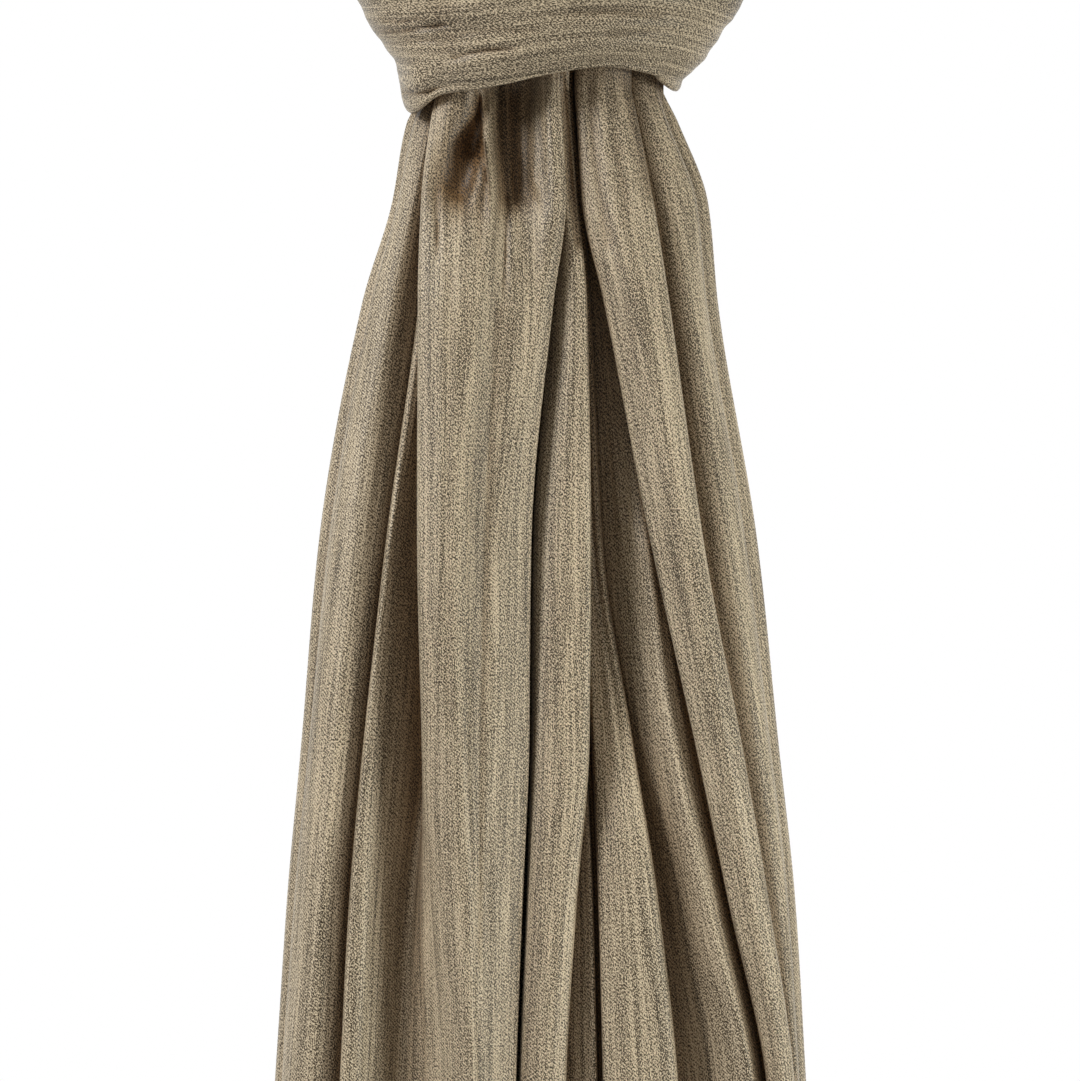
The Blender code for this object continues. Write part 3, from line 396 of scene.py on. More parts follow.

# Small dents, crinkles and ridges. Columns: name, first and last row of the table that it reaches, its line
# from left to right and down from the rail as seen from the front, half its width, and how far it moves the
# cloth back (or forward, if less than nothing), which is in on the front and out on the back. Each goes a
# margin past its rows. Cloth moved in on the front is also painted browner and darker there, as painted shade
ROW_MARGIN = 0.2
LEFT_CREASES = (
    ("dent under the band", "upper ridge", "main fold", ((-22.0, 108.0), (-26.0, 119.0)), 7.0, 6.0),
    ("hollow round the dent", "upper ridge", "main fold", ((-19.0, 98.0), (-26.0, 120.0)), 12.0, 4.0),
    ("crease into the dent", "dark valley", "main fold",
     ((-17.5, 86.0), (-19.5, 96.0), (-22.5, 107.0)), 3.2, 4.2),
    ("ridge beside it", "middle pleat", "broad crest",
     ((-15.0, 88.0), (-17.5, 104.0), (-22.0, 124.0)), 2.2, -3.0),
    ("darkly shaded valley", "dark cleft", "dark valley", ((-10.0, 86.0), (-9.5, 106.0), (-8.5, 122.0)), 5.8, 6.2),
    ("pleat in the valley", "dark cleft", "dark valley", ((-10.5, 88.0), (-9.8, 124.0)), 0.8, -1.3),
    ("second pleat in it", "front hem", "dark valley", ((-6.2, 88.0), (-5.6, 128.0)), 0.9, -1.2),
    ("pleat by the hem", "front hem", "dark cleft", ((0.5, 86.0), (1.0, 128.0)), 1.2, 1.6),
    ("line below the dent", "broad crest", "main fold", ((-34.3, 121.0), (-34.0, 142.0)), 0.8, 1.2),
    ("second line below it", "dark valley", "broad crest", ((-19.3, 124.0), (-20.0, 150.0)), 0.8, 1.2),
    ("third line below it", "dark cleft", "upper ridge", ((-10.7, 124.0), (-12.0, 156.0)), 0.8, 1.2),
    ("broad swell", "upper ridge", "main fold",
     ((-31.0, 160.0), (-33.0, 300.0), (-36.0, 480.0), (-38.0, 690.0)), 12.0, -2.6),
    ("long line", "upper ridge", "main fold", ((-29.5, 150.0), (-31.0, 230.0), (-30.0, 300.0)), 1.0, 0.7),
    ("second long line", "dark cleft", "upper ridge",
     ((-15.0, 160.0), (-19.0, 260.0), (-21.0, 380.0)), 1.0, 0.7),
    ("back ridge one", "back shoulder", "back fold",
     ((-30.0, 100.0), (-44.0, 230.0), (-60.0, 420.0), (-74.0, 690.0)), 3.0, 3.0),
    ("back ridge two", "back shoulder", "back fold",
     ((-21.0, 92.0), (-31.0, 230.0), (-44.0, 420.0), (-54.0, 690.0)), 2.4, 2.4),
    ("back ridge three", "back shoulder", "back crest",
     ((-38.0, 150.0), (-56.0, 300.0), (-70.0, 480.0)), 2.0, 1.8),
    ("centre ridge", "inner crest", "centre fold",
     ((-9.5, 90.0), (-11.0, 240.0), (-13.0, 420.0), (-21.0, 690.0)), 2.2, 2.0),
)
RIGHT_CREASES = (
    ("cleft by second pleat", "second pleat", "second fold",
     ((8.0, 86.0), (10.2, 118.0), (13.0, 140.0)), 1.4, 3.0),
    ("darkly shaded flank", "sixth left fold", "sixth right fold",
     ((28.5, 80.0), (31.5, 97.0), (37.0, 122.0)), 2.6, 3.0),
    ("neck pleat one", "sixth left fold", "sixth right fold",
     ((16.5, 84.0), (18.5, 108.0), (23.0, 140.0)), 1.4, 1.5),
    ("neck pleat two", "sixth left fold", "sixth right fold",
     ((23.0, 84.0), (25.0, 104.0), (29.0, 132.0)), 1.2, 1.3),
    ("fuller panel", "recessed panel", "recessed foot",
     ((36.0, 238.0), (47.0, 305.0), (58.0, 358.0), (70.0, 418.0), (88.0, 688.0)), 6.0, -3.4),
    ("right back ridge one", "right back shoulder", "right back fold",
     ((29.0, 96.0), (40.0, 230.0), (56.0, 420.0), (70.0, 690.0)), 3.0, 3.0),
    ("right back ridge two", "right back shoulder", "right back fold",
     ((35.0, 140.0), (50.0, 280.0), (66.0, 450.0)), 2.0, 1.8),
    ("right back ridge three", "right back crest", "centre valley",
     ((13.0, 92.0), (14.0, 240.0), (16.5, 420.0), (18.0, 690.0)), 2.2, 2.0),
)
BAND_CREASES = (
    ("first crinkle", "low bowl", "upper bowl", ((-51.0, 64.6), (-46.0, 65.4), (-40.0, 64.6)), 0.8, 1.5),
    ("second crinkle", "low bowl", "upper bowl", ((-58.0, 67.3), (-46.0, 68.4), (-31.5, 66.8)), 0.9, 1.8),
    ("third crinkle", "low bowl", "upper bowl", ((-44.0, 71.5), (-35.0, 72.0)), 0.7, 0.8),
    ("low crinkle", "low bowl", "upper bowl", ((-28.5, 78.0), (-19.0, 75.4), (-10.0, 75.0)), 0.9, 1.6),
    ("high crinkle", "low bowl", "upper bowl", ((-26.0, 70.0), (-14.0, 68.6), (-2.0, 69.2)), 0.7, 0.7),
    ("right crinkle", "low bowl", "upper bowl", ((22.0, 70.6), (36.0, 68.5), (46.0, 69.0)), 0.8, 0.8),
    ("upper right crinkle", "low bowl", "upper bowl", ((10.0, 63.2), (24.0, 62.4), (40.0, 63.6)), 0.7, 0.7),
    ("corner crease", "rim", "low crown", ((-46.0, 88.0), (-38.0, 88.8), (-31.0, 88.0)), 0.9, 2.2),
    ("soft dent", "low bowl", "upper bowl", ((-33.0, 62.0), (-30.0, 74.0)), 4.5, 1.4),
    ("right roll", "rim", "low crown", ((38.0, 82.6), (43.0, 85.6)), 0.8, 1.4),
)


def smooth_value(levels, values, level):
    """Values between the columns of a table, with no overshoot between neighbours."""
    levels = np.asarray(levels, float)
    values = np.asarray(values, float)
    level = np.clip(level, levels[0], levels[-1])
    steps = np.diff(levels)
    slopes = np.diff(values) / steps
    ends = np.concatenate([[slopes[0]], np.zeros(len(slopes) - 1), [slopes[-1]]])
    for index in range(1, len(slopes)):
        before, after = slopes[index - 1], slopes[index]
        if before * after > 0:
            ends[index] = 2 * before * after / (before + after)
    index = np.clip(np.searchsorted(levels, level, side="right") - 1, 0, len(steps) - 1)
    share = (level - levels[index]) / steps[index]
    rise = share * share * (3 - 2 * share)
    bend = ends[index] * share * (1 - share) ** 2 - ends[index + 1] * share * share * (1 - share)
    return values[index] * (1 - rise) + values[index + 1] * rise + steps[index] * bend


def soft_noise(u, v, seed):
    """Smooth uneven values from -1 to 1, with about one bump to a unit each way."""
    count = 61
    table = np.random.default_rng(seed).uniform(-1, 1, (count, count))
    low_u = np.floor(u).astype(int)
    low_v = np.floor(v).astype(int)
    share_u = u - low_u
    share_v = v - low_v
    share_u = share_u * share_u * (3 - 2 * share_u)
    share_v = share_v * share_v * (3 - 2 * share_v)
    rows = low_u % count
    next_rows = (low_u + 1) % count
    columns = low_v % count
    next_columns = (low_v + 1) % count
    near = table[rows, columns] * (1 - share_u) + table[next_rows, columns] * share_u
    far = table[rows, next_columns] * (1 - share_u) + table[next_rows, next_columns] * share_u
    return near * (1 - share_v) + far * share_v


def ripples(across, down, layers, seed, shift=0):
    """Layers of soft noise added up, each with its height and the width and length of its bumps."""
    total = np.zeros_like(down)
    for index, (height, width, length) in enumerate(layers):
        total += height * soft_noise(across / width + shift, down / length, seed + index)
    return total


def unit(vectors):
    """Vectors brought to length 1, or left at nothing where they have no length."""
    shortest = 1e-9
    return vectors / np.maximum(np.linalg.norm(vectors, axis=-1), shortest)[..., None]


def tail_corners(rows, levels):
    """Corners of a tail's section at each height: places, leads, and the row that each comes from."""
    centres = []
    for _, _, across, depth, *_ in rows:
        centres.append(np.stack([smooth_value(ACROSS_LEVELS, across, levels),
                                 smooth_value(DEPTH_LEVELS, depth, levels)], axis=1))
    places = []
    leads = []
    sources = []
    for index, (_, kind, _, _, *opening) in enumerate(rows):
        centre = centres[index]
        lead = LEADS[kind]
        if opening:
            half = smooth_value(OPEN_LEVELS, opening[0], levels)[:, None] / 2
            aside = unit(unit(centres[index + 1] - centre) - unit(centres[index - 1] - centre))
            places += [centre - aside * half, centre + aside * half]
            leads += [(lead, 0), (0, lead)]
            sources += [index, index]
        else:
            places.append(centre)
            leads.append((lead, lead))
            sources.append(index)
    return places, leads, sources


def ribbon_corners(values):
    """Corners of the hitch's section at each station: distance across and out, leads, and the row of each."""
    width, crown, pleat, crease = values.T
    places = []
    leads = []
    sources = []
    for index, row in enumerate(RIBBON):
        _, kind, share, out, crown_share, pleat_share, crease_across, crease_in, opening = row
        w = share * width + crease_across * crease
        n = out + crown_share * crown + pleat_share * pleat - crease_in * crease
        if kind == "fold across":
            places += [np.stack([w, n - opening / 2], axis=1), np.stack([w, n + opening / 2], axis=1)]
            leads += [(FOLD_LEAD, 0), (0, 0)]
            sources += [index, index]
        else:
            places.append(np.stack([w, n], axis=1))
            leads.append((0, 0))
            sources.append(index)
    return places, leads, sources


def rounded_curves(places, leads, sources, step_of):
    """Points, normals and place in the table along the smooth curves that round the corners off."""
    controls = []
    marks = []
    for index, (before, after) in enumerate(leads):
        place = places[index]
        for lead, neighbour in ((before, index - 1), (0, index), (after, index + 1)):
            if neighbour == index:
                controls.append(place)
                marks.append(sources[index])
            elif lead:
                toward = places[neighbour] - place
                reach = np.minimum(lead / np.linalg.norm(toward, axis=1), LEAD_LIMIT)
                controls.append(place + toward * reach[:, None])
                marks.append(sources[index] + LEAD_LIMIT / 2 * (neighbour - index))
    points = [controls[0]]
    directions = [controls[1] - controls[0]]
    rows = [marks[0]]
    for index in range(1, len(controls) - 1):
        corner = controls[index]
        start = (controls[index - 1] + corner) / 2
        end = (corner + controls[index + 1]) / 2
        first_row = (marks[index - 1] + marks[index]) / 2
        last_row = (marks[index] + marks[index + 1]) / 2
        length = np.linalg.norm(end - corner, axis=1) + np.linalg.norm(corner - start, axis=1)
        count = max(2, math.ceil(length.mean() / step_of(corner)))
        for share in np.arange(count) / count:
            first = start * (1 - share) + corner * share
            second = corner * (1 - share) + end * share
            points.append(first * (1 - share) + second * share)
            directions.append(second - first)
            rows.append(first_row * (1 - share) + last_row * share)
    points += [(controls[-2] + controls[-1]) / 2, controls[-1]]
    directions += [controls[-1] - controls[-2]] * 2
    rows += [(marks[-2] + marks[-1]) / 2, marks[-1]]
    points = np.stack(points, axis=1)
    directions = unit(np.stack(directions, axis=1))
    normals = np.stack([directions[:, :, 1], -directions[:, :, 0]], axis=2)
    return points, normals, np.array(rows)


def distance_to_path(across, down, path):
    """Distance in the front view from each point to a line through the path's points."""
    nearest = np.full(across.shape, np.inf)
    for (x0, z0), (x1, z1) in zip(path[:-1], path[1:]):
        run, fall = x1 - x0, z1 - z0
        share = ((across - x0) * run + (down - z0) * fall) / (run * run + fall * fall)
        share = np.clip(share, 0, 1)
        nearest = np.minimum(nearest, np.hypot(across - x0 - share * run, down - z0 - share * fall))
    return nearest


def pressed(middle, rows, names, creases):
    """Points moved back or forward along lines drawn in the front view, and how far each point that isn't on
    the back was moved back by it."""
    moved = middle.copy()
    for _, first, last, path, width, depth in creases:
        near = distance_to_path(middle[:, :, 0], -middle[:, :, 2], path)
        inside = (rows > names.index(first) - ROW_MARGIN) & (rows < names.index(last) + ROW_MARGIN)
        moved[:, :, 1] += depth * np.exp(-(near / width) ** 2) * inside
    # How far a point went in on the front sets the painted shade of a crease
    hollow = np.maximum(moved - middle, 0)[:, :, 1] * (middle[:, :, 1] < BACK_DEPTH)
    return moved, hollow


def sagged(middle, rows):
    """The hitch's lower left corner let down, so that its lower layer shows under the crease."""
    moved = middle.copy()
    share = np.interp(rows, SAG_ROWS, SAG_SHARES)
    near = np.exp(-((middle[:, :, 0] - SAG_CENTRE) / SAG_WIDTH) ** 2) * (middle[:, :, 1] < SAG_BACK)
    moved[:, :, 2] -= SAG_DROP * near * share
    return moved


def lengths_along(points):
    """Running length from the first column of a grid of points, for each row."""
    steps = np.linalg.norm(np.diff(points, axis=1), axis=2)
    return np.concatenate([np.zeros((len(points), 1)), np.cumsum(steps, axis=1)], axis=1)


def line_lengths(line):
    """Running length along one line of points."""
    return lengths_along(line[None])[0]


def grid_normals(points):
    """Unit normals of a grid of points in space."""
    down = np.gradient(points, axis=0)
    along = np.gradient(points, axis=1)
    return unit(np.cross(along, down))


def add_piece(name, vertices, faces, coordinates, material):
    """A piece of the scarf. For each corner of each face, its coordinates give a place in the weave and one
    along the threads."""
    mesh = bpy.data.meshes.new(name)
    mesh.from_pydata((vertices * MM).tolist(), [], faces)
    for layer_name, values in zip(("cloth", "thread"), coordinates):
        layer = mesh.uv_layers.new(name=layer_name)
        layer.data.foreach_set("uv", (values * MM).astype(np.float32).reshape(-1))
    mesh.materials.append(material)
    mesh.shade_smooth()
    mesh.set_sharp_from_angle(angle=SHARP_ANGLE)
    piece = bpy.data.objects.new(name, mesh)
    bpy.context.scene.collection.objects.link(piece)
    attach(piece, "root")
    return piece


def add_shell(name, middle, normals, cloth_uv, thread_uv, hollow, material):
    """A thin closed shell of cloth on a grid of points, which keeps how far each was pressed in, for the
    painted shade of its creases.
    """
    outer = middle + normals * THICKNESS / 2
    inner = middle - normals * THICKNESS / 2
    rows, columns, _ = middle.shape
    vertices = np.concatenate([outer.reshape(-1, 3), inner.reshape(-1, 3)])
    offset = rows * columns
    index = np.arange(offset).reshape(rows, columns)
    a, b, c, d = index[:-1, :-1], index[:-1, 1:], index[1:, 1:], index[1:, :-1]
    front = np.stack([a, b, c, d], axis=-1).reshape(-1, 4)
    back = front[:, ::-1] + offset
    rims = []
    for line, turned in ((index[0], True), (index[-1], False), (index[:, 0], False), (index[:, -1], True)):
        start, end = line[:-1], line[1:]
        rim = np.stack([start, end, end + offset, start + offset], axis=-1)
        rims.append(rim[:, ::-1] if turned else rim)
    faces = np.concatenate([front, back, *rims])
    corners = faces.reshape(-1) % offset
    coordinates = [uv.reshape(-1, 2)[corners] for uv in (cloth_uv, thread_uv)]
    piece = add_piece(name, vertices, faces.tolist(), coordinates, material)
    # Painted shade: each point keeps how far it was pressed in, which darkens its colour
    depth = piece.data.attributes.new("hollow", "FLOAT", "POINT")
    shares = np.minimum(hollow / HOLLOW_FULL, 1).reshape(-1)
    depth.data.foreach_set("value", np.tile(shares, 2).astype(np.float32))
    return piece


def add_tubes(name, lines, sides, profile, material):
    """Closed tubes along lines of points, each with its normals. The profile gives the half widths out of the
    cloth and along it, and their share at each point of a line."""
    rise, reach, shares = profile
    angles = np.arange(sides) * 2 * math.pi / sides
    vertices = []
    faces = []
    coordinates = []
    offset = 0
    for points, normals in lines:
        tangents = unit(np.gradient(points, axis=0))
        aside = unit(np.cross(tangents, normals))
        outward = np.cross(aside, tangents)
        scale = np.ones(len(points)) if shares is None else np.asarray(shares)
        ring = (np.cos(angles)[None, :, None] * outward[:, None, :] * rise
                + np.sin(angles)[None, :, None] * aside[:, None, :] * reach) * scale[:, None, None]
        vertices.append((points[:, None, :] + ring).reshape(-1, 3))
        index = np.arange(len(points) * sides).reshape(len(points), sides) + offset
        turned = np.roll(index, -1, axis=1)
        quads = np.stack([index[:-1], turned[:-1], turned[1:], index[1:]], axis=-1).reshape(-1, 4)
        faces += quads.tolist() + [index[0][::-1].tolist(), index[-1].tolist()]
        places = np.meshgrid(angles * reach, line_lengths(points))
        coordinates.append(np.stack(places, axis=-1).reshape(-1, 2))
        offset += len(points) * sides
    corners = np.concatenate([np.asarray(face) for face in faces])
    coordinates = [np.concatenate(coordinates)[corners]] * 2
    return add_piece(name, np.concatenate(vertices), faces, coordinates, material)


def inset_line(points, normals, distance):
    """The line at a set distance in from the first column of a grid, with the normals there."""
    run = lengths_along(points)
    line = np.empty((len(points), 3))
    facing = np.empty((len(points), 3))
    for row in range(len(points)):
        for axis in range(3):
            line[row, axis] = np.interp(distance, run[row], points[row, :, axis])
            facing[row, axis] = np.interp(distance, run[row], normals[row, :, axis])
    return line, unit(facing)


def dashes(line, facing):
    """Short straight lines at an even spacing along a line."""
    run = line_lengths(line)
    pieces = []
    for start in np.arange(STITCH_SPACING, run[-1] - STITCH_SPACING, STITCH_SPACING):
        places = start + np.array(STITCH_PLACES) * STITCH_LENGTH
        points = np.stack([np.interp(places, run, line[:, axis]) for axis in range(3)], axis=1)
        normals = unit(np.stack([np.interp(places, run, facing[:, axis]) for axis in range(3)], axis=1))
        pieces.append((points + normals * STITCH_LIFT, normals))
    return pieces


def add_hem(name, middle, normals, material, thread):
    """A rolled hem round the free edges of a tail, and the stitches that hold it."""
    edges = []
    stitches = []
    edge_first = ((middle, normals), (middle[:, ::-1], normals[:, ::-1]),
                  (middle[::-1].transpose(1, 0, 2), normals[::-1].transpose(1, 0, 2)))
    for points, facing in edge_first:
        edges.append(inset_line(points, facing, HEM_INSET))
        stitches += dashes(*inset_line(points, facing, STITCH_INSET))
    hem = add_tubes(name + "_hem", edges, HEM_SIDES, (HEM_RISE, HEM_REACH, None), material)
    profile = (STITCH_RADIUS, STITCH_RADIUS, STITCH_SHARES)
    seam = add_tubes(name + "_stitches", stitches, STITCH_SIDES, profile, thread)
    return hem, seam


def tail_surface(rows, creases, seed):
    """Middle surface of a tail with its soft ripples: points, normals, both sets of coordinates, and how far
    each point was pressed in."""
    heights = [np.arange(low, high, step) for low, high, step in HEIGHT_BANDS]
    levels = np.concatenate([*heights, [TAIL_HEM]])
    places, leads, sources = tail_corners(rows, levels)

    def step_of(control):
        depth = control[:, 1].mean()
        if depth < FRONT_DEPTH:
            return FINE_STEP
        if depth > BACK_DEPTH:
            return BACK_STEP
        return COARSE_STEP

    points, normals, marks = rounded_curves(places, leads, sources, step_of)
    along = lengths_along(points)
    thread = np.repeat(along[[np.argmin(abs(levels - THREAD_LEVEL))]], len(levels), axis=0)
    down = np.repeat(levels[:, None], points.shape[1], axis=1)
    ripple = ripples(thread, down, TAIL_RIPPLES, seed)
    neck = np.exp(-np.maximum(down - NECK_TOP, 0) / NECK_FADE)
    ripple += neck * ripples(thread, down, NECK_RIPPLES, seed + len(TAIL_RIPPLES))
    moved = points + normals * ripple[:, :, None]
    middle = np.concatenate([moved, -down[:, :, None]], axis=2)
    middle, hollow = pressed(middle, marks, [row[0] for row in rows], creases)
    flat_normals = np.concatenate([normals, np.zeros_like(down)[:, :, None]], axis=2)
    cloth_uv = np.stack([along, down], axis=2)
    thread_uv = np.stack([thread, down], axis=2)
    return middle, flat_normals, cloth_uv, thread_uv, hollow


def hitch_values(stations):
    """Centre, direction across, and the section's sizes on smooth curves through the rows of the hitch."""
    table = np.array([(*centre, *across, *sizes) for centre, across, *sizes in HITCH], float)
    index = np.minimum(stations.astype(int), len(table) - 2)
    share = (stations - index)[:, None]
    before = table[np.maximum(index - 1, 0)]
    start = table[index]
    end = table[index + 1]
    after = table[np.minimum(index + 2, len(table) - 1)]
    cube = share ** 3
    square = share ** 2
    return (start * (2 * cube - 3 * square + 1) + (end - before) / 2 * (cube - 2 * square + share)
            + end * (3 * square - 2 * cube) + (after - start) / 2 * (cube - square))


def hitch_surface(first, last, creases, seed):
    """Middle surface of one stretch of the hitch with its gathers, in the same five parts as a tail's."""
    end_station = len(HITCH) - 1
    walk = hitch_values(np.linspace(first, last, WALK_POINTS))[:, :3]
    rings = math.ceil(line_lengths(walk)[-1] / RING_STEP)
    stations = np.linspace(first, last, rings + 1)
    values = hitch_values(stations)
    ahead = hitch_values(np.minimum(stations + STATION_STEP, end_station))[:, :3]
    behind = hitch_values(np.maximum(stations - STATION_STEP, 0))[:, :3]
    along = unit(ahead - behind)
    across = values[:, 3:6]
    across = unit(across - along * (along * across).sum(axis=1)[:, None])
    out = np.cross(along, across)
    places, leads, sources = ribbon_corners(values[:, 6:])
    points, normals, marks = rounded_curves(places, leads, sources, lambda control: RIBBON_STEP)
    run = lengths_along(points)
    run -= run[:, [run.shape[1] // 2]]
    centres = values[:, :3].copy()
    if first > 0:
        centres[0] += along[0] * SEAM_GAP / 2
    if last < end_station:
        centres[-1] -= along[-1] * SEAM_GAP / 2
    walked = line_lengths(centres)[:, None] + first * STATION_LENGTH + np.zeros_like(run)
    gathers = ripples(run, walked, HITCH_RIPPLES, seed, HITCH_SHIFT)
    points = points + normals * gathers[:, :, None]
    middle = centres[:, None, :] + points[:, :, :1] * across[:, None, :] + points[:, :, 1:] * out[:, None, :]
    middle = sagged(middle, marks)
    middle, hollow = pressed(middle, marks, [row[0] for row in RIBBON], creases)
    cloth_uv = np.stack([run, walked], axis=2)
    return middle, grid_normals(middle), cloth_uv, cloth_uv, hollow


def math_node(tree, operation, first, second=None):
    """One step of arithmetic on numbers or on other nodes."""
    node = tree.nodes.new("ShaderNodeMath")
    node.operation = operation
    for socket, value in zip(node.inputs, (first, second)):
        if value is None:
            continue
        if isinstance(value, (int, float)):
            socket.default_value = value
        else:
            tree.links.new(value, socket)
    return node.outputs[0]


def noise_node(tree, vector, stretch, detail, roughness):
    """Noise over a set of coordinates, with its count of bumps to a unit each way."""
    mapping = tree.nodes.new("ShaderNodeMapping")
    mapping.inputs["Scale"].default_value = stretch
    tree.links.new(vector, mapping.inputs["Vector"])
    noise = tree.nodes.new("ShaderNodeTexNoise")
    noise.noise_dimensions = "2D"
    noise.inputs["Scale"].default_value = 1.0
    noise.inputs["Detail"].default_value = detail
    noise.inputs["Roughness"].default_value = roughness
    tree.links.new(mapping.outputs["Vector"], noise.inputs["Vector"])
    return noise.outputs[0]


def weighted_sum(tree, layers, weights):
    """The named layers added up, each times its weight."""
    total = 0.0
    for name, weight in weights.items():
        part = math_node(tree, "MULTIPLY", layers[name], weight)
        total = math_node(tree, "ADD", total, part)
    return total


def shade_painted_on(tree, colour, tint, share):
    """A colour darkened by a painted shade's tint, as far as the share says."""
    mix = tree.nodes.new("ShaderNodeMixRGB")
    mix.blend_type = "MULTIPLY"
    mix.inputs["Color2"].default_value = (*tint, 1.0)
    tree.links.new(share, mix.inputs["Fac"])
    tree.links.new(colour, mix.inputs["Color1"])
    return mix.outputs["Color"]


def crepe_material(name, slant, tone):
    """Silk crepe with a satin twill: slanting lines, uneven grains with painted glints, and long uneven
    streaks, darkened by painted shade in its folds and pressed creases. A slant of 1 or -1 leans the lines
    one way or the other."""
    material = bpy.data.materials.new(name)
    material.use_nodes = True
    tree = material.node_tree
    shader = tree.nodes["Principled BSDF"]
    maps = {}
    for map_name in ("cloth", "thread"):
        node = tree.nodes.new("ShaderNodeUVMap")
        node.uv_map = map_name
        maps[map_name] = node.outputs[0]
    noises = {}
    layers = {}
    for layer, map_name, stretch, detail, roughness, nothing in WEAVE:
        noises[layer] = noise_node(tree, maps[map_name], stretch, detail, roughness)
        layers[layer] = math_node(tree, "SUBTRACT", noises[layer], nothing)
    # Painted glints: only grains over a set value add painted highlight to the colour
    layers["painted glint"] = math_node(tree, "MAXIMUM", layers["painted glint"], 0.0)
    angle = math.radians(TWILL_ANGLE)
    lines = tree.nodes.new("ShaderNodeVectorMath")
    lines.operation = "DOT_PRODUCT"
    lines.inputs[1].default_value = (slant * math.cos(angle) * TWILL_WAVE, math.sin(angle) * TWILL_WAVE, 0.0)
    tree.links.new(maps["cloth"], lines.inputs[0])
    waver = math_node(tree, "MULTIPLY", noises["grain"], TWILL_WAVER)
    layers["twill"] = math_node(tree, "SINE", math_node(tree, "ADD", lines.outputs["Value"], waver))
    ramp = tree.nodes.new("ShaderNodeValToRGB")
    for element, colour in zip(ramp.color_ramp.elements, (DARK_SILK, BRIGHT_SILK_AND_GLINT)):
        element.color = (*colour, 1.0)
    ramp.color_ramp.elements.new(0.5).color = (*MIDDLE_SILK, 1.0)
    total = math_node(tree, "ADD", weighted_sum(tree, layers, TONE_WEIGHTS), tone)
    tree.links.new(total, ramp.inputs["Fac"])
    # Painted shade: the colour is darkened and browned where other cloth is near
    cavity = tree.nodes.new("ShaderNodeAmbientOcclusion")
    cavity.samples = CAVITY_RAYS
    cavity.inputs["Distance"].default_value = CAVITY_REACH
    openness = math_node(tree, "POWER", cavity.outputs["AO"], CAVITY_POWER)
    # Painted shade: the colour is darkened and browned more where a crease pressed the cloth in
    crease_shade_depth = tree.nodes.new("ShaderNodeAttribute")
    crease_shade_depth.attribute_name = "hollow"
    fold_shaded = shade_painted_on(tree, ramp.outputs["Color"], FOLD_SHADE_TINT, math_node(tree, "SUBTRACT", 1.0, openness))
    crease_shaded = shade_painted_on(tree, fold_shaded, CREASE_SHADE_TINT, crease_shade_depth.outputs["Fac"])
    tree.links.new(crease_shaded, shader.inputs["Base Color"])
    bump = tree.nodes.new("ShaderNodeBump")
    bump.inputs["Strength"].default_value = 1.0
    bump.inputs["Distance"].default_value = MM
    tree.links.new(weighted_sum(tree, layers, RELIEF_WEIGHTS), bump.inputs["Height"])
    tree.links.new(bump.outputs["Normal"], shader.inputs["Normal"])
    shader.inputs["Roughness"].default_value = ROUGHNESS
    shader.inputs["Specular IOR Level"].default_value = SPECULAR
    shader.inputs["Sheen Weight"].default_value = SHEEN
    shader.inputs["Sheen Roughness"].default_value = SHEEN_ROUGHNESS
    return material


def add_light(name, place, target, size, power, spread, colour):
    """A soft rectangular lamp that points at a target and isn't seen itself."""
    data = bpy.data.lights.new(name, "AREA")
    data.shape = "RECTANGLE"
    data.size, data.size_y = size
    data.energy = power
    data.spread = math.radians(spread)
    data.color = colour
    light = bpy.data.objects.new(name, data)
    light.location = place
    toward = [b - a for a, b in zip(place, target)]
    light.rotation_mode = "QUATERNION"
    light.rotation_quaternion = Vector(toward).to_track_quat("-Z", "Y")
    light.visible_camera = False
    bpy.context.scene.collection.objects.link(light)
    return light


# Cloth
left_silk = crepe_material("silk_crepe_left", 1.0, TAIL_TONE)
right_silk = crepe_material("silk_crepe_right", -1.0, TAIL_TONE)
# Painted shade: the band and its loops take the darker copy of the silk
shaded_band_silk = crepe_material("silk_crepe_band_painted_darker", 1.0, BAND_PAINTED_SHADE_TONE)
thread = crepe_material("sewing_thread", 1.0, THREAD_TONE)

left_surface = tail_surface(LEFT_TAIL, LEFT_CREASES, SEEDS["left_tail"])
left = add_shell("left_tail_cloth", *left_surface, left_silk)
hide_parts("left_tail")
left_hem, left_seam = add_hem("left", *left_surface[:2], left_silk, thread)
right_surface = tail_surface(RIGHT_TAIL, RIGHT_CREASES, SEEDS["right_tail"])
right = add_shell("right_tail_cloth", *right_surface, right_silk)
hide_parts("right_tail")
right_hem, right_seam = add_hem("right", *right_surface[:2], right_silk, thread)
band_surface = hitch_surface(LEFT_SEAM, RIGHT_SEAM, BAND_CREASES, SEEDS["band"])
band = add_shell("band_cloth", *band_surface, shaded_band_silk)
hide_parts("band")
left_loop_surface = hitch_surface(0.0, LEFT_SEAM, (), SEEDS["left_loop"])
left_loop = add_shell("left_loop_cloth", *left_loop_surface, shaded_band_silk)
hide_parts("left_loop")
right_loop_surface = hitch_surface(RIGHT_SEAM, len(HITCH) - 1.0, (), SEEDS["right_loop"])
right_loop = add_shell("right_loop_cloth", *right_loop_surface, shaded_band_silk)
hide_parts("right_loop")

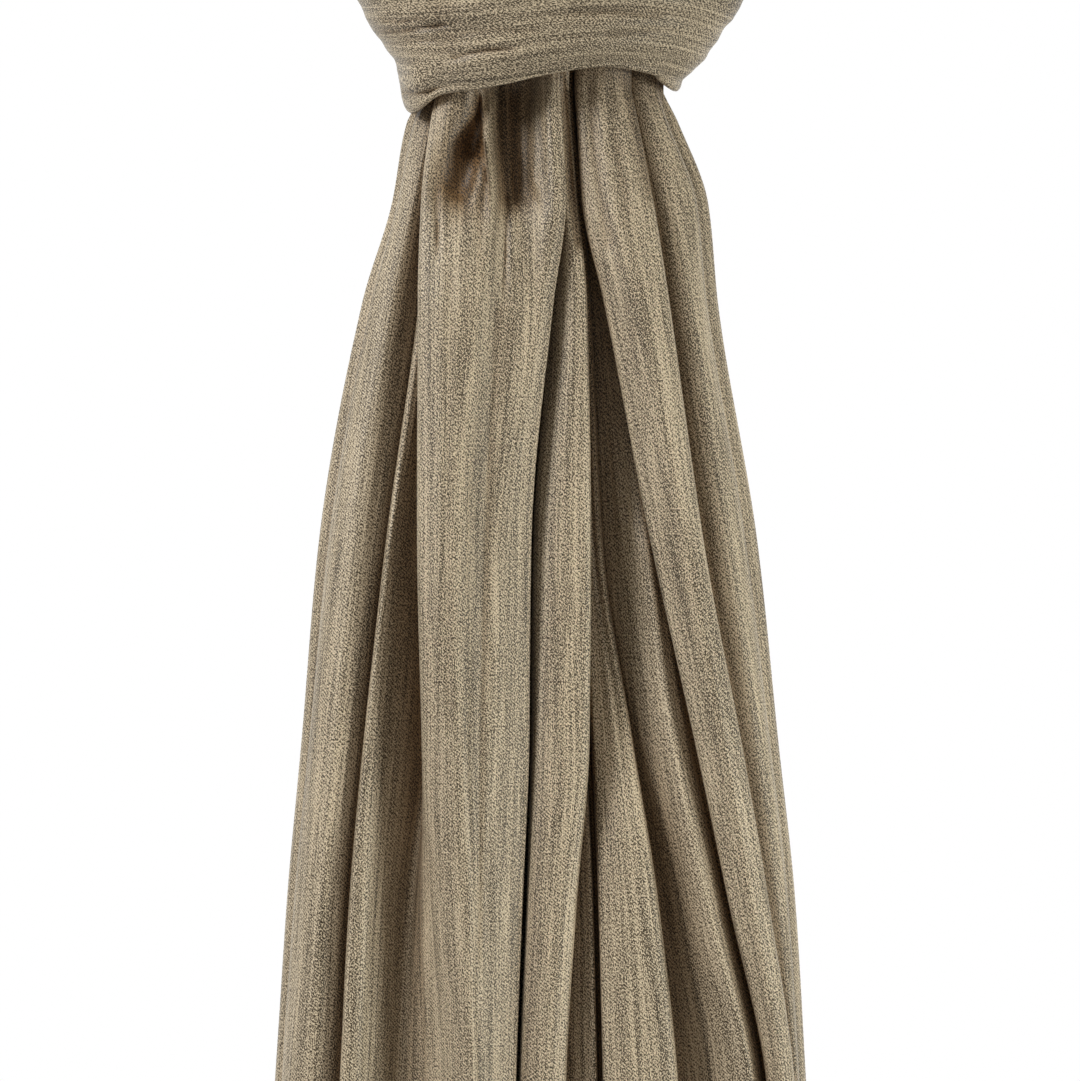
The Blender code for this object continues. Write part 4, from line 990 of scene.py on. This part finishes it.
# Floor, light and camera
floor_mesh = bpy.data.meshes.new("floor")
floor_corners = [(x * FLOOR_HALF, y * FLOOR_HALF, 0) for x, y in ((-1, -1), (1, -1), (1, 1), (-1, 1))]
floor_mesh.from_pydata(floor_corners, [], [(0, 1, 2, 3)])
floor = bpy.data.objects.new("floor", floor_mesh)
floor.location.z = FLOOR_HEIGHT
bpy.context.scene.collection.objects.link(floor)
pale = bpy.data.materials.new("pale_floor")
pale.use_nodes = True
pale_shader = pale.node_tree.nodes["Principled BSDF"]
pale_shader.inputs["Base Color"].default_value = (*FLOOR_COLOUR, 1.0)
pale_shader.inputs["Roughness"].default_value = FLOOR_ROUGHNESS
floor_mesh.materials.append(pale)

world = bpy.data.worlds.new("studio")
world.use_nodes = True
sky = world.node_tree
direction = sky.nodes.new("ShaderNodeTexCoord")
split = sky.nodes.new("ShaderNodeSeparateXYZ")
sky.links.new(direction.outputs["Generated"], split.inputs["Vector"])
toward_back = sky.nodes.new("ShaderNodeMapRange")
toward_back.interpolation_type = "SMOOTHSTEP"
toward_back.inputs["From Min"].default_value = 0.0
toward_back.inputs["From Max"].default_value = SKY_CHANGE
sky.links.new(split.outputs["Y"], toward_back.inputs["Value"])
fill = sky.nodes.new("ShaderNodeMixRGB")
fill.inputs["Color1"].default_value = (*FRONT_SKY, 1.0)
fill.inputs["Color2"].default_value = (*BACK_SKY, 1.0)
sky.links.new(toward_back.outputs["Result"], fill.inputs["Fac"])
sky.links.new(fill.outputs["Color"], sky.nodes["Background"].inputs["Color"])
sky.nodes["Background"].inputs["Strength"].default_value = 1.0
bpy.context.scene.world = world
bpy.context.scene.view_settings.view_transform = "Standard"

for softbox in SOFTBOXES:
    add_light(*softbox)

camera_data = bpy.data.cameras.new("camera")
camera_data.sensor_fit = "HORIZONTAL"
camera_data.sensor_width = SENSOR_WIDTH
camera_data.lens = CAMERA_LENS
camera = bpy.data.objects.new("camera", camera_data)
camera.location = CAMERA_PLACE
camera.rotation_euler = (math.pi / 2, 0.0, 0.0)
bpy.context.scene.collection.objects.link(camera)
bpy.context.scene.camera = camera
